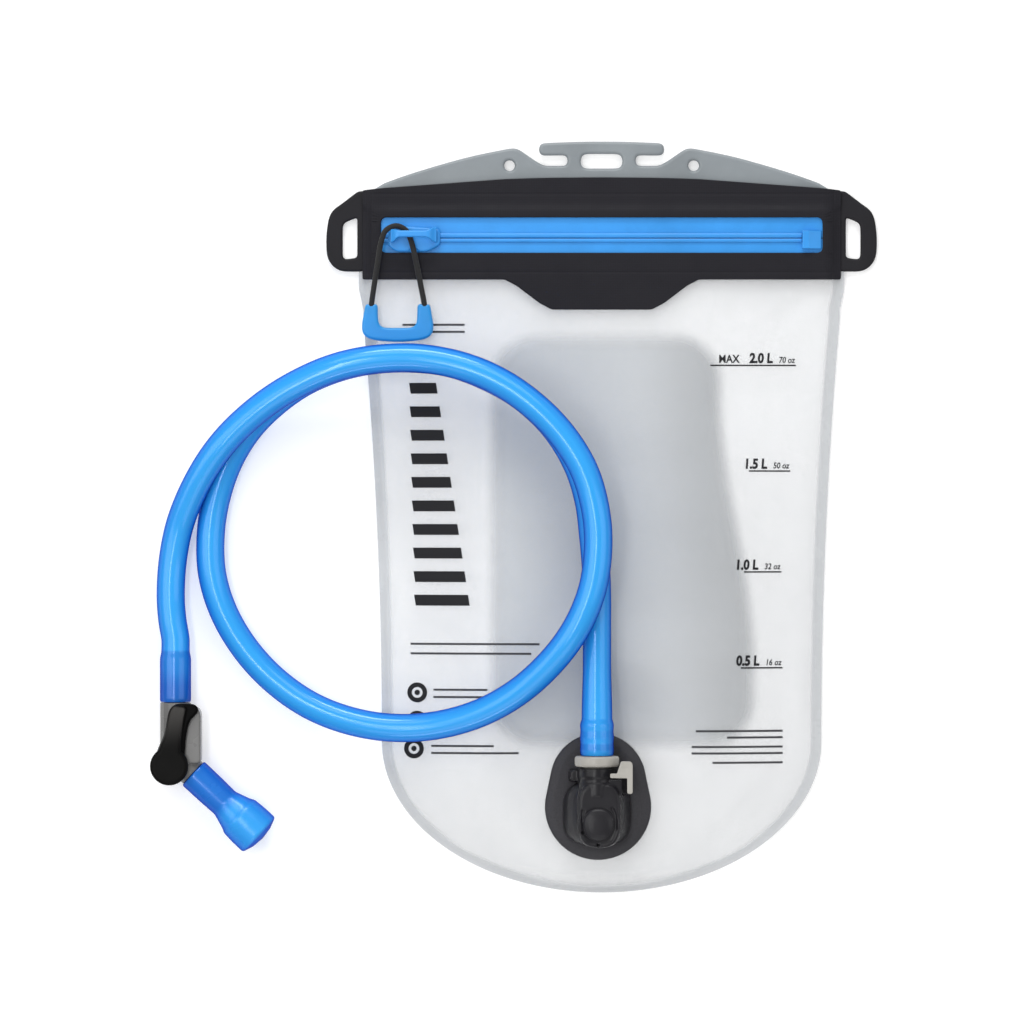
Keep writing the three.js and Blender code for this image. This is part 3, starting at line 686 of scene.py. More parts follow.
HOSE_ROUTE = metres([
    (-2.6, -95.7, 27.2), (-2.6, -84, 27.2), (-2.6, -55, 27.2), (-2.6, -38, 27.2), (-3.1, -24, 27.2),
    (-4.4, -9, 27.2), (-6.6, 8, 27.1), (-12, 25, 26.6), (-22.6, 42.5, 25.4), (-36.6, 56.2, 24),
    (-51.5, 65.5, 22.6), (-73, 73.7, 20.8), (-96, 76, 19.8), (-118, 73.8, 18.8), (-138, 67.2, 16.2),
    (-153, 58.2, 13.4), (-168.5, 43.9, 10.4), (-178.8, 28, 8.4), (-185.3, 10, 7.4), (-188.2, -8, 7.2),
    (-187.6, -27, 7.2), (-182.5, -44.5, 7.2), (-173, -61.4, 7.4), (-159.4, -76.8, 8.6),
    (-142, -89.5, 10.8), (-123.4, -97.2, 13.6), (-102, -101, 16.8), (-80, -99.9, 20),
    (-58.6, -93.8, 24.4), (-40.5, -83.6, 29.4), (-26.5, -71.2, 34.6), (-16, -58.2, 39), (-9, -45.5, 41.2),
    (-4.2, -31, 41.5), (-2.2, -12, 41.5), (-3.6, 4, 41.5), (-8.6, 21.5, 41.1), (-17.4, 36.6, 40.2),
    (-29.6, 50.2, 39.2), (-47, 63.2, 37.4), (-66, 71.6, 35.8), (-88, 75.8, 34.4), (-110, 75.1, 33.4),
    (-128, 71.2, 32), (-145, 64, 29.6), (-160.4, 54.6, 27), (-174.4, 42.9, 24), (-184, 32.3, 21.4),
    (-191.9, 20.6, 18), (-199, 6.6, 13.8), (-203.5, -6, 10.6), (-206.5, -22, 9), (-207.3, -38, 9.8),
    (-206.5, -49, 11.1), (-204.9, -59, 11.5), (-204.9, -63.5, 11.5),
])
CORD_ROUTE = metres([
    (-110.8, 101.6, 9.6), (-109.4, 112, 9.9), (-107.8, 122, 10.7), (-106.2, 131.6, 11.6),
    (-103.9, 137.6, 11.9), (-99.3, 139.9, 11.4), (-95.2, 138.6, 11), (-92.9, 135.8, 10.9),
    (-91.2, 131, 11), (-89.2, 122, 10.7), (-87.2, 112, 9.9), (-85.3, 101.6, 9.6),
])
CORD_RADIUS = 1.35 * MM
CORD_END_Y = 98.6 * MM
HOSE_RADIUS = 6.8 * MM
HOSE_SIDES = 36
HOSE_LIP = 0.6 * MM
BARB_SWELL = {"port": 1.3 * MM, "valve": 0.7 * MM}
PORT_TAIL = 0.55 * MM
PLUG = {"x": -2.6 * MM, "z": 27.2 * MM}


def hose_end(node):
    """Where the tube stops on a barb, and the y at which that barb begins."""
    low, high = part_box(node)
    return Vector(((low.x + high.x) / 2, low.y, (low.z + high.z) / 2)), high.y


def make_hose():
    start, port_y = hose_end("hose_end_port")
    end, valve_y = hose_end("hose_end_valve")
    path = smooth_path([start, *HOSE_ROUTE, end], 2 * MM)
    whole = length_of(path)
    port_barb = port_y - start.y
    valve_barb = whole - (valve_y - end.y)

    def radius_at(along):
        near_port = 1 - ease(port_barb - 3 * MM, port_barb, along)
        rings = 0.5 + 0.5 * cos(2 * pi * min(along, port_barb) / (port_barb / 3.1))
        port = near_port * (BARB_SWELL["port"] - PORT_TAIL - 0.16 * MM * rings)
        tail = PORT_TAIL * (1 - ease(port_barb, port_barb + 26 * MM, along))
        valve = ease(valve_barb, valve_barb + 5 * MM, along) * BARB_SWELL["valve"]
        lip = min(along, whole - along, HOSE_LIP)
        return HOSE_RADIUS + port + tail + valve - 0.3 * MM * (1 - lip / HOSE_LIP) ** 2

    def darkness_at(along):
        bands = 0.12 + 0.55 * (1 - along / port_barb) * ease(0.25, 0.55, 3 * along / port_barb % 1)
        at_valve = ease(valve_barb, valve_barb + 1.2 * MM, along)
        deep = 0.6 + 0.4 * ease(whole - 18 * MM, whole - 6 * MM, along)
        return max(bands if along < port_barb else 0, at_valve * deep)

    fine = smooth_path(path, 1.1 * MM)
    nodes = ["hose", "hose_end_port", "hose_end_valve"]
    hose = piece("hose", tube(fine, radius_at, HOSE_SIDES), HOSE, "hose_set", 60, nodes)
    places = np.cumsum([0] + [(b - a).length for a, b in zip(fine, fine[1:])])
    marked(hose, "barb", [darkness_at(along) for along in places for _ in range(HOSE_SIDES)])
    return hose, path


def make_pull_cord():
    first, last = (Vector((point.x, CORD_END_Y, point.z)) for point in (CORD_ROUTE[0], CORD_ROUTE[-1]))
    path = smooth_path([first, *CORD_ROUTE, last], 0.6 * MM)
    cord = piece("pull_cord", tube(path, lambda along: CORD_RADIUS, 20), CORD, None, 60)
    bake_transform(cord)


hose, hose_path = make_hose()
make_pull_cord()


# ---- the bag's form ----

SIDE = 106 * MM
WIDEST = 114.9 * MM
FLARE = 9.7 * MM
SHOULDER_Y = -108 * MM
BOTTOM_DEPTH = 73 * MM
SEAM_Z = 1.5 * MM
THICKNESS = 0.6 * MM
WELD_SHARE = 0.955
CROWN = 16 * MM
PORT_X = sum(corner.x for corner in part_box("port_base")) / 2
PORT_LOW_RADIUS = 25.5 * MM
PORT_HIGH_RADIUS = 23 * MM
PORT_LOW_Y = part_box("port_base")[0].y + PORT_LOW_RADIUS
PORT_HIGH_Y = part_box("port_base")[1].y - PORT_HIGH_RADIUS
PORT_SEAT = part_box("port_base")[0].z - 0.4 * MM

# soft folds in the front film, in millimetres: from, to, half width, height
FOLDS = [
    ((112, 108), (78, 72), 5, 1.0), ((98, 112), (70, 92), 4, 0.7), ((109, 96), (103, 40), 4, 0.8),
    ((-112, 108), (-90, 78), 5, 0.9), ((-108, 92), (-102, 30), 4, 0.7), ((60, 104), (30, 86), 6, 0.5),
    ((-60, 106), (-24, 90), 7, 0.5), ((92, -60), (96, -110), 5, 0.8), ((-88, -90), (-70, -140), 6, 0.8),
    ((50, -150), (80, -120), 5, 0.8),
]


def half_width(y):
    """Half the bag's width, with the corners that curl out from under the band."""
    up = max(0, (y - SHOULDER_Y) / 0.212)
    curl = 2.2 * MM * ease(0.098, 0.112, y)
    return min(SIDE + FLARE * up ** 2, WIDEST) + curl


def edge_share(x, y):
    if y > SHOULDER_Y:
        return abs(x) / half_width(y)
    return hypot(x / SIDE, (y - SHOULDER_Y) / BOTTOM_DEPTH)


def crown(x, y):
    """How high the filled bag's face bulges, less towards the band."""
    across = max(0, 1 - (edge_share(x, y) / WELD_SHARE) ** 2.2) ** 0.8
    return CROWN * across * (1 - 0.85 * ease(0, 0.1, y))


def distance_to_port(x, y):
    return hypot(x - PORT_X, y - min(PORT_HIGH_Y, max(PORT_LOW_Y, y)))


def folds(x, y):
    """The height of all soft folds at a place."""
    here = Vector((x, y))
    height = 0
    for start, end, width, rise in FOLDS:
        start, end = metres([start, end])
        way = end - start
        along = (here - start).dot(way) / way.length_squared
        if not -0.2 < along < 1.2:
            continue
        aside = (here - start - way * along).length
        fade = ease(-0.2, 0.25, along) * (1 - ease(0.5, 1.2, along))
        height += rise * MM * fade * exp(-(aside / (width * MM)) ** 2)
    return height


def front_underside(x, y):
    share = edge_share(x, y)
    free = SEAM_Z + THICKNESS + 0.3 * MM + crown(x, y)
    at_seam = ease(WELD_SHARE - 0.1, WELD_SHARE, share)
    away = max(ease(0.034, 0.062, distance_to_port(x, y)), at_seam)
    height = between(PORT_SEAT - THICKNESS, free, away)
    loose = ease(0.03, 0.06, distance_to_port(x, y)) * (1 - ease(0.106, 0.113, y))
    bead = 0.28 * MM * exp(-((share - WELD_SHARE) / 0.006) ** 2)
    return height + loose * folds(x, y) * (1 - ease(0.94, 0.97, share)) + bead


def back_underside(x, y):
    at_edge = ease(0.8, 0.93, edge_share(x, y))
    return SEAM_Z * max(at_edge, ease(0.08, 0.104, y))


def bag_film(name, underside, keep=lambda x, y: True):
    """One face of the bag, with each point's share of the welded edge for the film's cloudiness."""
    columns, rows = 150, 170
    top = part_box(name)[1].y

    def place(i, j):
        angle = pi * (i / columns - 0.5)
        bottom = SHOULDER_Y - BOTTOM_DEPTH * cos(angle)
        y = between(top, bottom, j / rows)
        return sin(angle) * half_width(y), y

    made = piece(name, film_sheet(columns, rows, place, underside, THICKNESS, keep), FILM)
    shares = [edge_share(vert.co.x, vert.co.y) for vert in made.data.vertices]
    marked(made, "weld", [ease(WELD_SHARE - 0.008, WELD_SHARE + 0.004, share) for share in shares])


def make_films():
    def off_water_hole(x, y):
        return hypot(x - PORT_X, y - PORT_LOW_Y) > 9 * MM

    bag_film("front_film", front_underside, off_water_hole)
    bag_film("back_film", back_underside)


def make_inner_panel():
    low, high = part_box("inner_panel")
    columns, rows = 90, 120
    narrow = high.x - 16 * MM

    def right_at(y):
        return between(narrow, high.x, ease(-0.060, 0.070, -y))

    def place(i, j):
        y = between(low.y, high.y, j / rows)
        return between(low.x, right_at(y), i / columns), y

    def underside(x, y):
        middle = (low.x + right_at(y)) / 2
        arch = 1 - ((x - middle) / (right_at(y) - middle)) ** 2
        near_port = ease(0.034, 0.062, distance_to_port(x, y))
        lift = SEAM_Z * ease(0.030, 0.080, y)
        ripple = 0.4 * MM * sin(y * 170) * arch
        return THICKNESS + 0.3 * MM + lift + 0.4 * arch * near_port * crown(middle, y) + ripple * near_port

    work = film_sheet(columns, rows, place, underside, THICKNESS)
    made = piece("inner_panel", work, PANEL)

    def fade_at(x, y):
        corner = 26 * MM
        aside = min(x - low.x, right_at(y) - x)
        along = min(y - low.y, high.y - y)
        rim = min(aside, along)
        if max(aside, along) < corner:
            rim = corner - hypot(corner - aside, corner - along)
        return 0.92 * ease(0, 13 * MM, rim)

    places = [vert.co[:2] for vert in made.data.vertices]
    marked(made, "fade", [fade_at(x, y) for x, y in places])
    # Painted shade: the panel's colour darkens towards its right side.
    marked(made, "shade", [ease(48 * MM, 8 * MM, right_at(y) - x) for x, y in places])


# ---- the fabric band and what it holds ----

BAND_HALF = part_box("front_band")[1].x
BAND_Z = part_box("front_band")[0].z
WINDOW_HALF = 106.3 * MM
WINDOW_LOW = 127.2 * MM
WINDOW_HIGH = 144.2 * MM
BAND_THICK = 1.2 * MM
SEAM_LINES = (117.8 * MM, 155.5 * MM)
END_SEAM = 111.8 * MM
SEAM_WIDE = 0.5 * MM


def band_underside(x, y):
    inside = 1 - ease(WINDOW_HALF + 2.7 * MM, BAND_HALF, abs(x))
    over_hanger = ease(WINDOW_HIGH + 2.8 * MM, 0.151, y)
    rise = BAND_Z + 3 * MM * inside * (1 - 0.7 * over_hanger) + 0.9 * MM * over_hanger
    seams = sum(exp(-((y - line) / SEAM_WIDE) ** 2) for line in SEAM_LINES)
    ends = exp(-((abs(x) - END_SEAM) / SEAM_WIDE) ** 2)
    return rise - 0.22 * MM * min(1, seams * inside + ends)


def window_outline():
    sides = ((-WINDOW_HALF, WINDOW_LOW), (WINDOW_HALF, WINDOW_LOW), (WINDOW_HALF, WINDOW_HIGH),
             (-WINDOW_HALF, WINDOW_HIGH))
    return rounded([(x, y, 3 * MM) for x, y in sides])


def band_outline():
    """The CAD's outline, with the tongue's corners made round and the ends brought up to the loops."""
    points = softened(outlines_of("front_band", 0.6)[0], 0.6, 2)
    for point in points:
        at_end = ease(BAND_HALF - 6 * MM, BAND_HALF, abs(point.x))
        point.x *= 1 + 0.3 * MM / BAND_HALF * at_end
    return points


def make_band():
    beside_seam = [offset * MM for offset in (-0.9, -0.45, 0, 0.45, 0.9)]
    fine_x = [side * (END_SEAM + offset) for side in (-1, 1) for offset in beside_seam]
    fine_y = [line + offset for line in SEAM_LINES for offset in beside_seam]
    lines_x = [*steps_between(-BAND_HALF, BAND_HALF, 4 * MM), *fine_x]
    lines_y = [*steps_between(98.5 * MM, 165 * MM, 1.5 * MM), *fine_y]
    profile = edge_profile(0, BAND_THICK, 0.45, 0.3, 3)
    work = plate([band_outline(), window_outline()], profile, lines_x, lines_y, band_underside)
    piece("front_band", work, FABRIC)
    outline = softened(outlines_of("rear_band", 1)[0], 1, 1)
    rear = plate([outline], edge_profile(0, BAND_THICK, 0.35))
    piece("rear_band", rear, FABRIC)


def make_hanger():
    low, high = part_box("hanger_plate")
    outer, *holes = outlines_of("hanger_plate", 0.8)
    for point in outer:
        point.y -= 1.6 * MM * ease(0.106, 0.112, abs(point.x)) * ease(0.152, 0.156, point.y)
    work = plate([outer, *holes], edge_profile(low.z, high.z, 1.4, 0.4))
    piece("hanger_plate", work, HANGER)


def make_side_loops():
    for side in ("left", "right"):
        node = "side_loop_" + side
        low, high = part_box(node)
        loops = outlines_of(node, 1.2)
        for point in loops[0]:
            near = 1 - ease(0, 13 * MM, abs(point.x) - BAND_HALF)
            point.y += 2.2 * MM * near * ease(0.138, 0.148, point.y)
            under_band = 1 - ease(0.4 * MM, 2.4 * MM, abs(point.x) - BAND_HALF)
            point.x *= 1 - 1.6 * MM / BAND_HALF * under_band
        work = plate(loops, edge_profile(low.z, high.z, 1.0, 0.5))
        piece(node, work, LOOP)


# ---- the zip and its pull ----

def extruded_x(outline, left, right):
    """A closed outline of (y, z) points, run along X."""
    return tidied(skin([[(x, *point) for point in outline] for x in (left, right)]))


def bead(node):
    """A rail of the zip, round on top."""
    low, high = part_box(node)
    half = (high.y - low.y) / 2
    angles = [pi * k / 12 for k in range(13)]
    arch = [(low.y + half + half * cos(t), between(low.z, high.z, 0.35 + 0.65 * sin(t))) for t in angles]
    outline = [(low.y, low.z), (high.y, low.z), *arch]
    piece(node, extruded_x(outline, low.x, high.x), ZIP)


def tape(node):
    """Half of the zip's tape, its edges a little round."""
    low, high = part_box(node)
    corners = [(low.y, low.z), (high.y, low.z), (high.y, high.z), (low.y, high.z)]
    piece(node, extruded_x(softened(corners, 0.3), low.x, high.x), ZIP)


def make_zip():
    for make, node in ((tape, "zip_tape_"), (bead, "zip_chain_")):
        make(node + "upper")
        make(node + "lower")
    stop = moulding([copy_of("zip_end_stop")], 0.2, 4)
    piece("zip_end_stop", stop, ZIP, angle=60)


def make_slider():
    """A shell over the rails, with a waist cut into both its sides."""
    low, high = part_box("zip_slider")
    shell = plate([outlines_of("zip_slider", 1)[0]], edge_profile(low.z, high.z, 1.1, 0.2))
    rails_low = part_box("zip_chain_lower")[0].y - 0.4 * MM
    rails_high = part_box("zip_chain_upper")[1].y + 0.4 * MM
    rails = block((low.x - 5 * MM, rails_low, 0), (high.x + 5 * MM, rails_high, low.z + 1.3 * MM))
    waist = [rod((-90.5 * MM, y * MM, high.z - 0.6 * MM), UP, 3 * MM, 5 * MM) for y in (126.4, 142)]
    body = moulding([shell], 0.22, 3, [rails, *waist])
    piece("zip_slider", body, ZIP, "slider", 60)
    make_bridge()


def make_bridge():
    """The arch over the slider, slim in the middle and spread at its two feet."""
    low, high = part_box("slider_bridge")
    middle_y = (low.y + high.y) / 2
    rings = []
    for share in steps_between(0, 1, 0.5 * MM / (high.x - low.x)):
        foot = max(1 - ease(0, 0.2, share), ease(0.76, 1, share))
        right = middle_y - between(1.6, 4.2, foot) * MM
        left = middle_y + (between(1.6, 2.4, foot) + 1.2 * ease(0.74, 1, share)) * MM
        top = high.z - 2.6 * MM * foot ** 2
        bottom = between(high.z - 1.8 * MM, low.z, ease(0.15, 0.7, foot))
        ring = softened([(right, bottom), (left, bottom), (left, top), (right, top)], 0.5)
        rings.append([(between(low.x, high.x, share), *point) for point in ring])
    work = moulding([tidied(skin(rings))], 0.2, 3)
    piece("slider_bridge", work, ZIP, "slider", 60)


def make_grip():
    """The CAD's grip, a little fuller, with sockets for both ends of the cord."""
    low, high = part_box("pull_grip")
    fuller = [(inset - 0.55 * MM, z) for inset, z in edge_profile(low.z, high.z, 1.35, steps=6)]
    grip = plate([outlines_of("pull_grip", 0.8)[0]], fuller)
    sockets = [rod((point.x, high.y - 4 * MM, point.z), ALONG_Y, 1.6 * MM, 7 * MM)
               for point in (CORD_ROUTE[0], CORD_ROUTE[-1])]
    piece("pull_grip", moulding([grip], 0.25, 2, sockets), GRIP, "pull", 60)


# ---- the drinking port ----

def egg():
    """The flange's outline: two arcs of different radius and the straight lines that touch both."""
    lean = (PORT_LOW_RADIUS - PORT_HIGH_RADIUS) / (PORT_HIGH_Y - PORT_LOW_Y)
    points = []
    for y, radius, start, end in ((PORT_HIGH_Y, PORT_HIGH_RADIUS, lean, pi - lean),
                                  (PORT_LOW_Y, PORT_LOW_RADIUS, pi - lean, 2 * pi + lean)):
        for step in range(49):
            turn = between(start, end, step / 48)
            points.append(Vector((PORT_X + radius * cos(turn), y + radius * sin(turn))))
    return points


def circle(x, y, radius, sides=32):
    return [Vector((x + radius * cos(turn), y + radius * sin(turn))) for turn in turns(sides)]


def make_port_base():
    low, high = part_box("port_base")
    hole = circle(PORT_X, PORT_LOW_Y, 6 * MM)
    side = [(1.1 * MM, low.z), (0.4 * MM, low.z), (0, low.z + 0.3 * MM), (0, low.z + 0.7 * MM)]
    slope = [(0.3 * MM, low.z + 1.1 * MM), (1.2 * MM, low.z + 1.5 * MM), (2.6 * MM, high.z - 0.35 * MM)]
    work = plate([egg(), hole], [*side, *slope, (4 * MM, high.z), (4.6 * MM, high.z)])
    piece("port_base", work, FLANGE)


def superellipse(level, sides=72):
    z, left, right, low, high, power = level
    ring = []
    for turn in turns(sides):
        parts = (cos(turn + pi / sides), sin(turn + pi / sides))
        across, along = (abs(part) ** power * (1 if part > 0 else -1) for part in parts)
        ring.append((between(left, right, 0.5 + across / 2), between(low, high, 0.5 + along / 2), z))
    return metres(ring)


def lofted(levels, steps=6):
    """A body through stacked outlines (z, left, right, low, high, power) in millimetres."""
    rings = []
    for near, far in zip(levels, levels[1:]):
        for step in range(steps):
            share = step / steps
            rings.append(superellipse([between(a, b, share) for a, b in zip(near, far)]))
    return tidied(skin([*rings, superellipse(levels[-1])]))


def groove(points, z, radius, sides):
    """A round bar along points (x, y) in millimetres, at one height."""
    return tube(smooth_path(metres([(x, y, z) for x, y in points]), 0.4 * MM), lambda along: radius, sides)


def port_bodies(floor, top):
    """A wide skirt, a raised shield with a rim, a collar round the socket, a lug and an ear."""
    skirt = lofted([
        (floor, -18.9, 13.9, -157.2, -127, 0.62), (floor + 3, -18.5, 13.5, -157.2, -126.5, 0.62),
        (floor + 8, -16.6, 11.6, -157, -126, 0.64), (floor + 12, -14.2, 10.2, -156.6, -127, 0.68),
        (floor + 14, -12.6, 8.8, -155.6, -128, 0.72), (floor + 15, -11, 7.2, -154, -130, 0.75),
    ])
    shield = lofted([
        (floor + 6, -12.8, 9.2, -157.4, -126.8, 0.56), (floor + 13, -12.2, 8.9, -157.4, -127, 0.54),
        (top - 1.4, -11.6, 8.5, -157.2, -127.4, 0.52), (top - 0.7, -11.1, 8, -156.7, -127.9, 0.52),
        (top - 0.4, -10.2, 7.1, -155.8, -128.8, 0.54),
    ], 4)
    wall_points = [(0, 0), (9, 0), (9, 5.8), (8.6, 6.2), (8.6, 8.4), (9, 8.8), (9, 13.2), (0, 13.2)]
    collar = turned(metres(wall_points), (PLUG["x"], -133 * MM, PLUG["z"]), ALONG_Y)
    lug = lofted([
        (floor + 1, 2.4, 14.2, -133.2, -124.8, 0.36), (top - 2.2, 3, 13.6, -132.8, -125.2, 0.36),
    ], 2)
    ear = lofted([
        (floor + 2, -16.4, -10, -127, -120.5, 0.5), (floor + 9.5, -15, -10, -126.4, -121, 0.5),
    ], 2)
    rim_points = [(-10.9, -144), (-10.5, -150), (-7.6, -155.2), (-1.6, -156.9), (4.4, -155.2), (7.2, -150),
                  (7.6, -144)]
    return [skirt, shield, collar, lug, ear, groove(rim_points, top - 0.75, 0.95 * MM, 14)]


def port_cuts(floor, top):
    """The plug's socket, the way down for the water, room for the latch, the cap's seat, slits and dots."""
    latch_low, latch_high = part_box("latch_clip")
    slits = ([(-9.3, -139.4), (-9.6, -142), (-9.4, -145.2)], [(4.4, -138.4), (5.9, -142), (6.2, -149)])
    dots = ((-9.4, -150.4), (-2.2, -156.4))
    return [
        rod((PLUG["x"], -151.5 * MM, PLUG["z"]), ALONG_Y, 7 * MM, 33 * MM),
        rod((PORT_X, PORT_LOW_Y, (floor - 2) * MM), UP, 5 * MM, PLUG["z"] - (floor - 2) * MM, 20),
        block((9.3 * MM, -133 * MM, latch_low.z - 1.5 * MM), (22 * MM, -114 * MM, latch_high.z + 2 * MM)),
        lofted([(top - 0.5, -9.9, 6.1, -154.8, -138.4, 0.82), (top + 3, -9.9, 6.1, -154.8, -138.4, 0.82)], 1),
        *[groove(points, top - 0.3, 0.85 * MM, 12) for points in slits],
        *[rod((x * MM, y * MM, (top - 2.2) * MM), UP, 0.8 * MM, 3.2 * MM, 20) for x, y in dots],
    ]


def make_port():
    floor, top = (corner.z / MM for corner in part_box("port_housing"))
    body = moulding(port_bodies(floor, top), 0.34, 3, port_cuts(floor, top))
    piece("port_housing", body, PORT, angle=70)
    make_port_cap()


def make_port_cap():
    low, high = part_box("port_cap")
    z, top = low.z / MM, high.z / MM
    cap = lofted([
        (z, -9.2, 5.4, -154.2, -139, 0.84), (z + 0.9, -9.1, 5.3, -154.1, -139.1, 0.84),
        (z + 1.5, -8.4, 4.6, -153.4, -139.8, 0.86), (top - 0.25, -6.6, 2.8, -151.4, -141.8, 0.9),
        (top, -4.4, 0.6, -149, -144, 0.95),
    ], 5)
    piece("port_cap", cap, PORT, angle=70)


def make_latch():
    """The CAD's clip, with the web between its two upper arms."""
    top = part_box("latch_clip")[1].z
    corners = [(8.6, -116.3, 0.6), (12.8, -116.2, 0.8), (14.2, -118.4, 0.8), (13.8, -124.3, 0.3),
               (6.4, -124.3, 0.3), (6.9, -121.4, 0.6)]
    web = plate([metres(rounded(corners))], edge_profile(top - 1.7 * MM, top - 0.1 * MM, 0.4))
    work = moulding([copy_of("latch_clip"), web], 0.22, 4)
    piece("latch_clip", work, WARM_GREY, "latch", 70)


def make_plug():
    """The plug: nose with a seal groove, a flange ring, a neck and a barb for the hose; and its seal."""
    axis = (PLUG["x"], 0, PLUG["z"])
    profile = [
        (2.8, -146), (5.8, -146), (6.6, -144.6), (6.6, -136.9), (5.3, -136.8), (5.3, -134.6), (6.6, -134.5),
        (6.6, -119.2), (10, -119.2), (10.65, -118.4), (10.65, -115), (10, -114.2), (4, -114.2), (4.4, -106),
        (3.9, -105.8), (3.8, -98), (2.8, -98),
    ]
    body = turned(soft_profile(metres(profile), 0.35, True), axis, ALONG_Y)
    low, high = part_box("plug_seal")
    ring = circle(6.1 * MM, (low.y + high.y) / 2, 0.62 * MM, 14)
    plug = piece("hose_plug", body, WARM_GREY, "hose_set")
    return plug, piece("plug_seal", turned(ring, axis, ALONG_Y), SEAL, "hose_set")


def make_check_valve():
    low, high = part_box("check_poppet")
    profile = [(0, 0), (1.2, 0), (1.2, 2.0), (4.9, 2.2), (5.4, 2.6), (5.4, 3.1), (4.9, 3.4), (0, 3.4)]
    stretch = (high.y - low.y) / profile[-1][1]
    points = soft_profile([(radius * MM, along * stretch) for radius, along in profile], 0.2)
    poppet = turned(points, (PLUG["x"], low.y, PLUG["z"]), ALONG_Y, 40)
    piece("check_poppet", poppet, WARM_GREY, "poppet")
    low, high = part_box("check_spring")
    coils, coil_steps, radius, wire = 3, 30, 3.2 * MM, 0.4 * MM
    route = []
    for step in range(coils * coil_steps + 1):
        turn = 2 * pi * step / coil_steps
        y = between(low.y + wire, high.y - wire, step / (coils * coil_steps))
        route.append(Vector((PLUG["x"] + radius * cos(turn), y, PLUG["z"] + radius * sin(turn))))
    piece("check_spring", tube(route, lambda along: wire, 12), STEEL, angle=60)


# ---- the shutoff valve and the bite valve ----

def make_valve():
    body = moulding([copy_of("valve_body")], 0.32, 5)
    valve = piece("valve_body", body, VALVE_GREY, "hose_set", 70)
    core = moulding([copy_of("valve_spool")], 0.25, 3)
    return valve, piece("valve_spool", core, VALVE_GREY, "lever", 70)


def from_hub(x, y, corners):
    """A rounded outline from corners given in millimetres from the hub's axis."""
    return metres(rounded([(x / MM + right, y / MM + up, back) for right, up, back in corners]))


def make_lever():
    """A round hub with an arm: a glossy black side and a satin face laid on it, leaning down at its edges."""
    low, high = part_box("shutoff_lever")
    hub_low, hub_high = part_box("valve_spool")
    x, y = (hub_low.x + hub_high.x) / 2, (hub_low.y + hub_high.y) / 2
    arm = from_hub(x, y, [
        (-7, 3, 0), (-5.6, 8.6, 4), (-2.4, 15, 4), (-0.4, 27, 3), (3, 30, 2), (12, 30, 2.5),
        (14.3, 27.6, 1.5), (13.6, 25.4, 1), (9.6, 21.4, 3), (8, 14, 4), (7.4, 3, 0),
    ])
    face = from_hub(x, y, [
        (-6.4, 3, 0), (-5, 8.6, 4), (-1.9, 15, 4), (0.1, 26.4, 2.4), (1.8, 29.2, 1), (8.2, 28.4, 2),
        (6.6, 21, 3), (5.6, 12, 3), (6, 3, 0),
    ])
    bottom = low.z + 0.9 * MM
    top = high.z - 0.3 * MM
    plates = [
        plate([arm], edge_profile(bottom, high.z - 2.4 * MM, 1.0, 0.4)),
        plate([circle(x, y, 9.2 * MM, 64)], edge_profile(bottom, top, 1.4, 0.4)),
        plate([face], edge_profile(bottom, top, 1.2, 0.3)),
    ]
    seat = rod((x, y, low.z - 1 * MM), UP, 5.5 * MM, hub_high.z - low.z + 1.3 * MM, 40)
    work = moulding(plates, 0.28, 4, [seat])
    # Painted light: the arm's face greys from the hub towards its far end, where light catches it.
    painted_face_light = []
    for vert in work.verts:
        aside, along, height = vert.co.x - x, vert.co.y - y, vert.co.z
        on_face = ease(high.z - 2.2 * MM, high.z - 1.4 * MM, height)
        painted_face_light.append(on_face * (0.06 + 0.94 * ease(8 * MM, 30 * MM, along)))
        if height > bottom + 2 * MM:
            lean = max(0, (4 * MM - aside) / (10 * MM)) * ease(4 * MM, 14 * MM, along)
            vert.co.z -= 1.8 * MM * ease(6 * MM, 30 * MM, along) ** 2 + 0.7 * MM * lean ** 2
    lever = piece("shutoff_lever", work, LEVER, "lever", 70)
    marked(lever, "face", painted_face_light)
    return lever


OUTLET = {"x": -196.5 * MM, "y": -123.1 * MM, "angle": radians(-43)}


def make_bite_valve():
    """A soft cup: neck, flare, and a mouthpiece with a slit across its bulging end."""
    direction = Vector((cos(OUTLET["angle"]), sin(OUTLET["angle"]), 0))
    start = Vector((OUTLET["x"], OUTLET["y"], hose_end("hose_end_valve")[0].z)) + direction * 0.05 * MM
    profile = [
        (0, 18), (4.9, 16.6), (4.9, 0), (7.4, 0), (7.8, 0.5), (7.7, 12), (7.4, 21), (9.8, 28.4), (10.9, 30.4),
        (11.3, 36), (11.4, 42.8), (10.6, 43.6), (6, 45.2), (0, 45.9),
    ]
    cup = turned(soft_profile(metres(profile)), start, direction, 64)
    end = start + direction * 45.4 * MM
    side = direction.cross(Vector(UP)).normalized()
    slit = bmesh.new()
    for along, across, up in [(a, b, c) for a in (-1.6, 1) for b in (-5.5, 5.5) for c in (-0.28, 0.28)]:
        slit.verts.new(end + (direction * along + side * across + up * Vector(UP)) * MM)
    bmesh.ops.convex_hull(slit, input=slit.verts)
    work = less(moulding([cup], 0.4, 2), slit)
    over_barb = [1 - ease(19 * MM, 26 * MM, (vert.co - start).dot(direction)) for vert in work.verts]
    bite_valve = piece("bite_valve", work, SILICONE, "bite", 50)
    marked(bite_valve, "barb", over_barb)
    return bite_valve


# ---- the print on the front film ----

INK_LIFT = 0.06 * MM
INK_THICK = 0.05 * MM


def on_film(x, y):
    return front_underside(x, y) + THICKNESS + INK_LIFT


def bar(left, right, y, height, slant=0.0):
    """A printed bar on the film, in millimetres, its middle at y; slant shifts its far edge along X."""
    left, right, low, high = left * MM, right * MM, (y - height / 2) * MM, (y + height / 2) * MM
    columns = max(2, round((right - left) / (2 * MM)))
    rows = max(1, round((high - low) / (2 * MM)))

    def place(i, j):
        return between(left, right, i / columns) + slant * j / rows, between(low, high, j / rows)

    return film_sheet(columns, rows, place, on_film, INK_THICK)


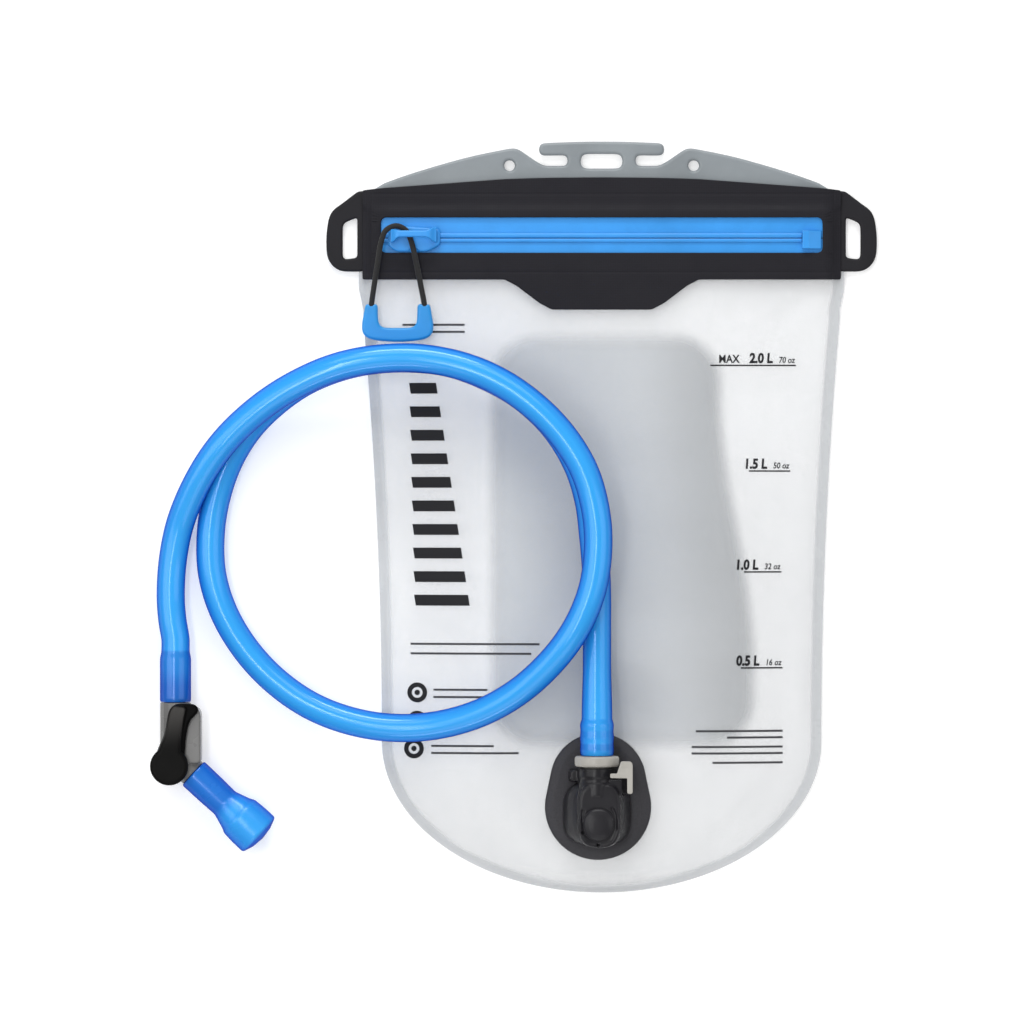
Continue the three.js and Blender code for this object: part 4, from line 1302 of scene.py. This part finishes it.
def words(text, x, y, height, bold=0.0, slant=0.0):
    """Printed figures on the film, from x to the right, standing on y."""
    curve = bpy.data.curves.new("figures", "FONT")
    curve.body = text
    curve.size = height * 1.38
    curve.offset = bold
    curve.shear = slant
    curve.extrude = INK_THICK / 2
    curve.resolution_u = 4
    scratch = object_of(curve)
    mesh = bpy.data.meshes.new_from_object(scratch.evaluated_get(bpy.context.evaluated_depsgraph_get()))
    work = bmesh.new()
    work.from_mesh(mesh)
    bpy.data.objects.remove(scratch)
    bmesh.ops.remove_doubles(work, verts=work.verts, dist=1e-7)
    for vert in work.verts:
        vert.co = Vector((vert.co.x * 0.86 + x, vert.co.y + y, vert.co.z))
        vert.co.z += on_film(vert.co.x, vert.co.y) + INK_THICK / 2
    return work


def make_fill_scale():
    """Generic volume marks: each an underline with litres and ounces over it."""
    marks = [
        ("MAX", "2.0 L", "70 oz", 52.3, 93.6, 73.0), ("", "1.5 L", "50 oz", 70.6, 90.7, 22.1),
        ("", "1.0 L", "32 oz", 68.2, 86.4, -26.4), ("", "0.5 L", "16 oz", 66.7, 86.9, -72.5),
    ]
    parts = []
    for word, litres, ounces, left, right, y in marks:
        base = (y + 1.3) * MM
        parts.append(bar(left, right, y, 0.7))
        parts.append(words(ounces, (right - 8.4) * MM, base, 2.9 * MM, 0.08 * MM, 0.15))
        parts.append(words(litres, (right - 22.5) * MM, base, 4.7 * MM, 0.28 * MM, 0.08))
        if word:
            parts.append(words(word, (left + 4) * MM, base, 3.9 * MM, 0.12 * MM))
    piece("fill_scale", joined(parts), INK)


def ring_mark(x, y):
    """A printed ring with a dot in it."""
    ring = [circle(x, y, 4.8 * MM, 40), circle(x, y, 2.6 * MM, 32)]
    dot = [circle(x, y, 1.3 * MM, 24)]
    profile = [(0.1 * MM, 0), (0, INK_THICK / 2), (0.1 * MM, INK_THICK)]
    return joined([plate(loops, profile, drape=on_film) for loops in (ring, dot)])


def make_plain_marks():
    """Marks with no meaning where the bag has its print: slanted bars, rings and thin lines."""
    bars = []
    for step in range(10):
        share = step / 9
        left = between(-92, -89.5, share)
        bars.append(bar(left, left + between(13, 26, share), between(62, -40, share), 5.2, -0.8 * MM))
    piece("plain_bars", joined(bars), INK)
    lines = [
        (45, 87, -102.8), (60, 87, -105.9), (43, 87, -110.4), (43, 87, -113.5), (53, 87, -118),
        (-92, -30, -61), (-92, -34, -65.6), (-81, -55, -83), (-81, -51, -86.5), (-82, -52, -110),
        (-82, -40, -113.4), (-96, -66, 92.6), (-96, -66, 89.2),
    ]
    piece("plain_lines", joined([bar(*line, 1) for line in lines]), PALE_INK)
    rings = ((-88.8, -84.4), (-88.8, -98), (-90.4, -111.4))
    piece("plain_discs", joined([ring_mark(x * MM, y * MM) for x, y in rings]), INK)


# ---- build everything ----

for make in (make_films, make_inner_panel, make_band, make_hanger, make_side_loops, make_zip, make_slider,
             make_grip, make_port_base, make_port, make_latch):
    make()
plug, seal = make_plug()
make_check_valve()
valve, spool = make_valve()
lever = make_lever()
bite = make_bite_valve()
make_fill_scale()
make_plain_marks()

round(length_of(hose_path), 3)
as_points(hose_path)
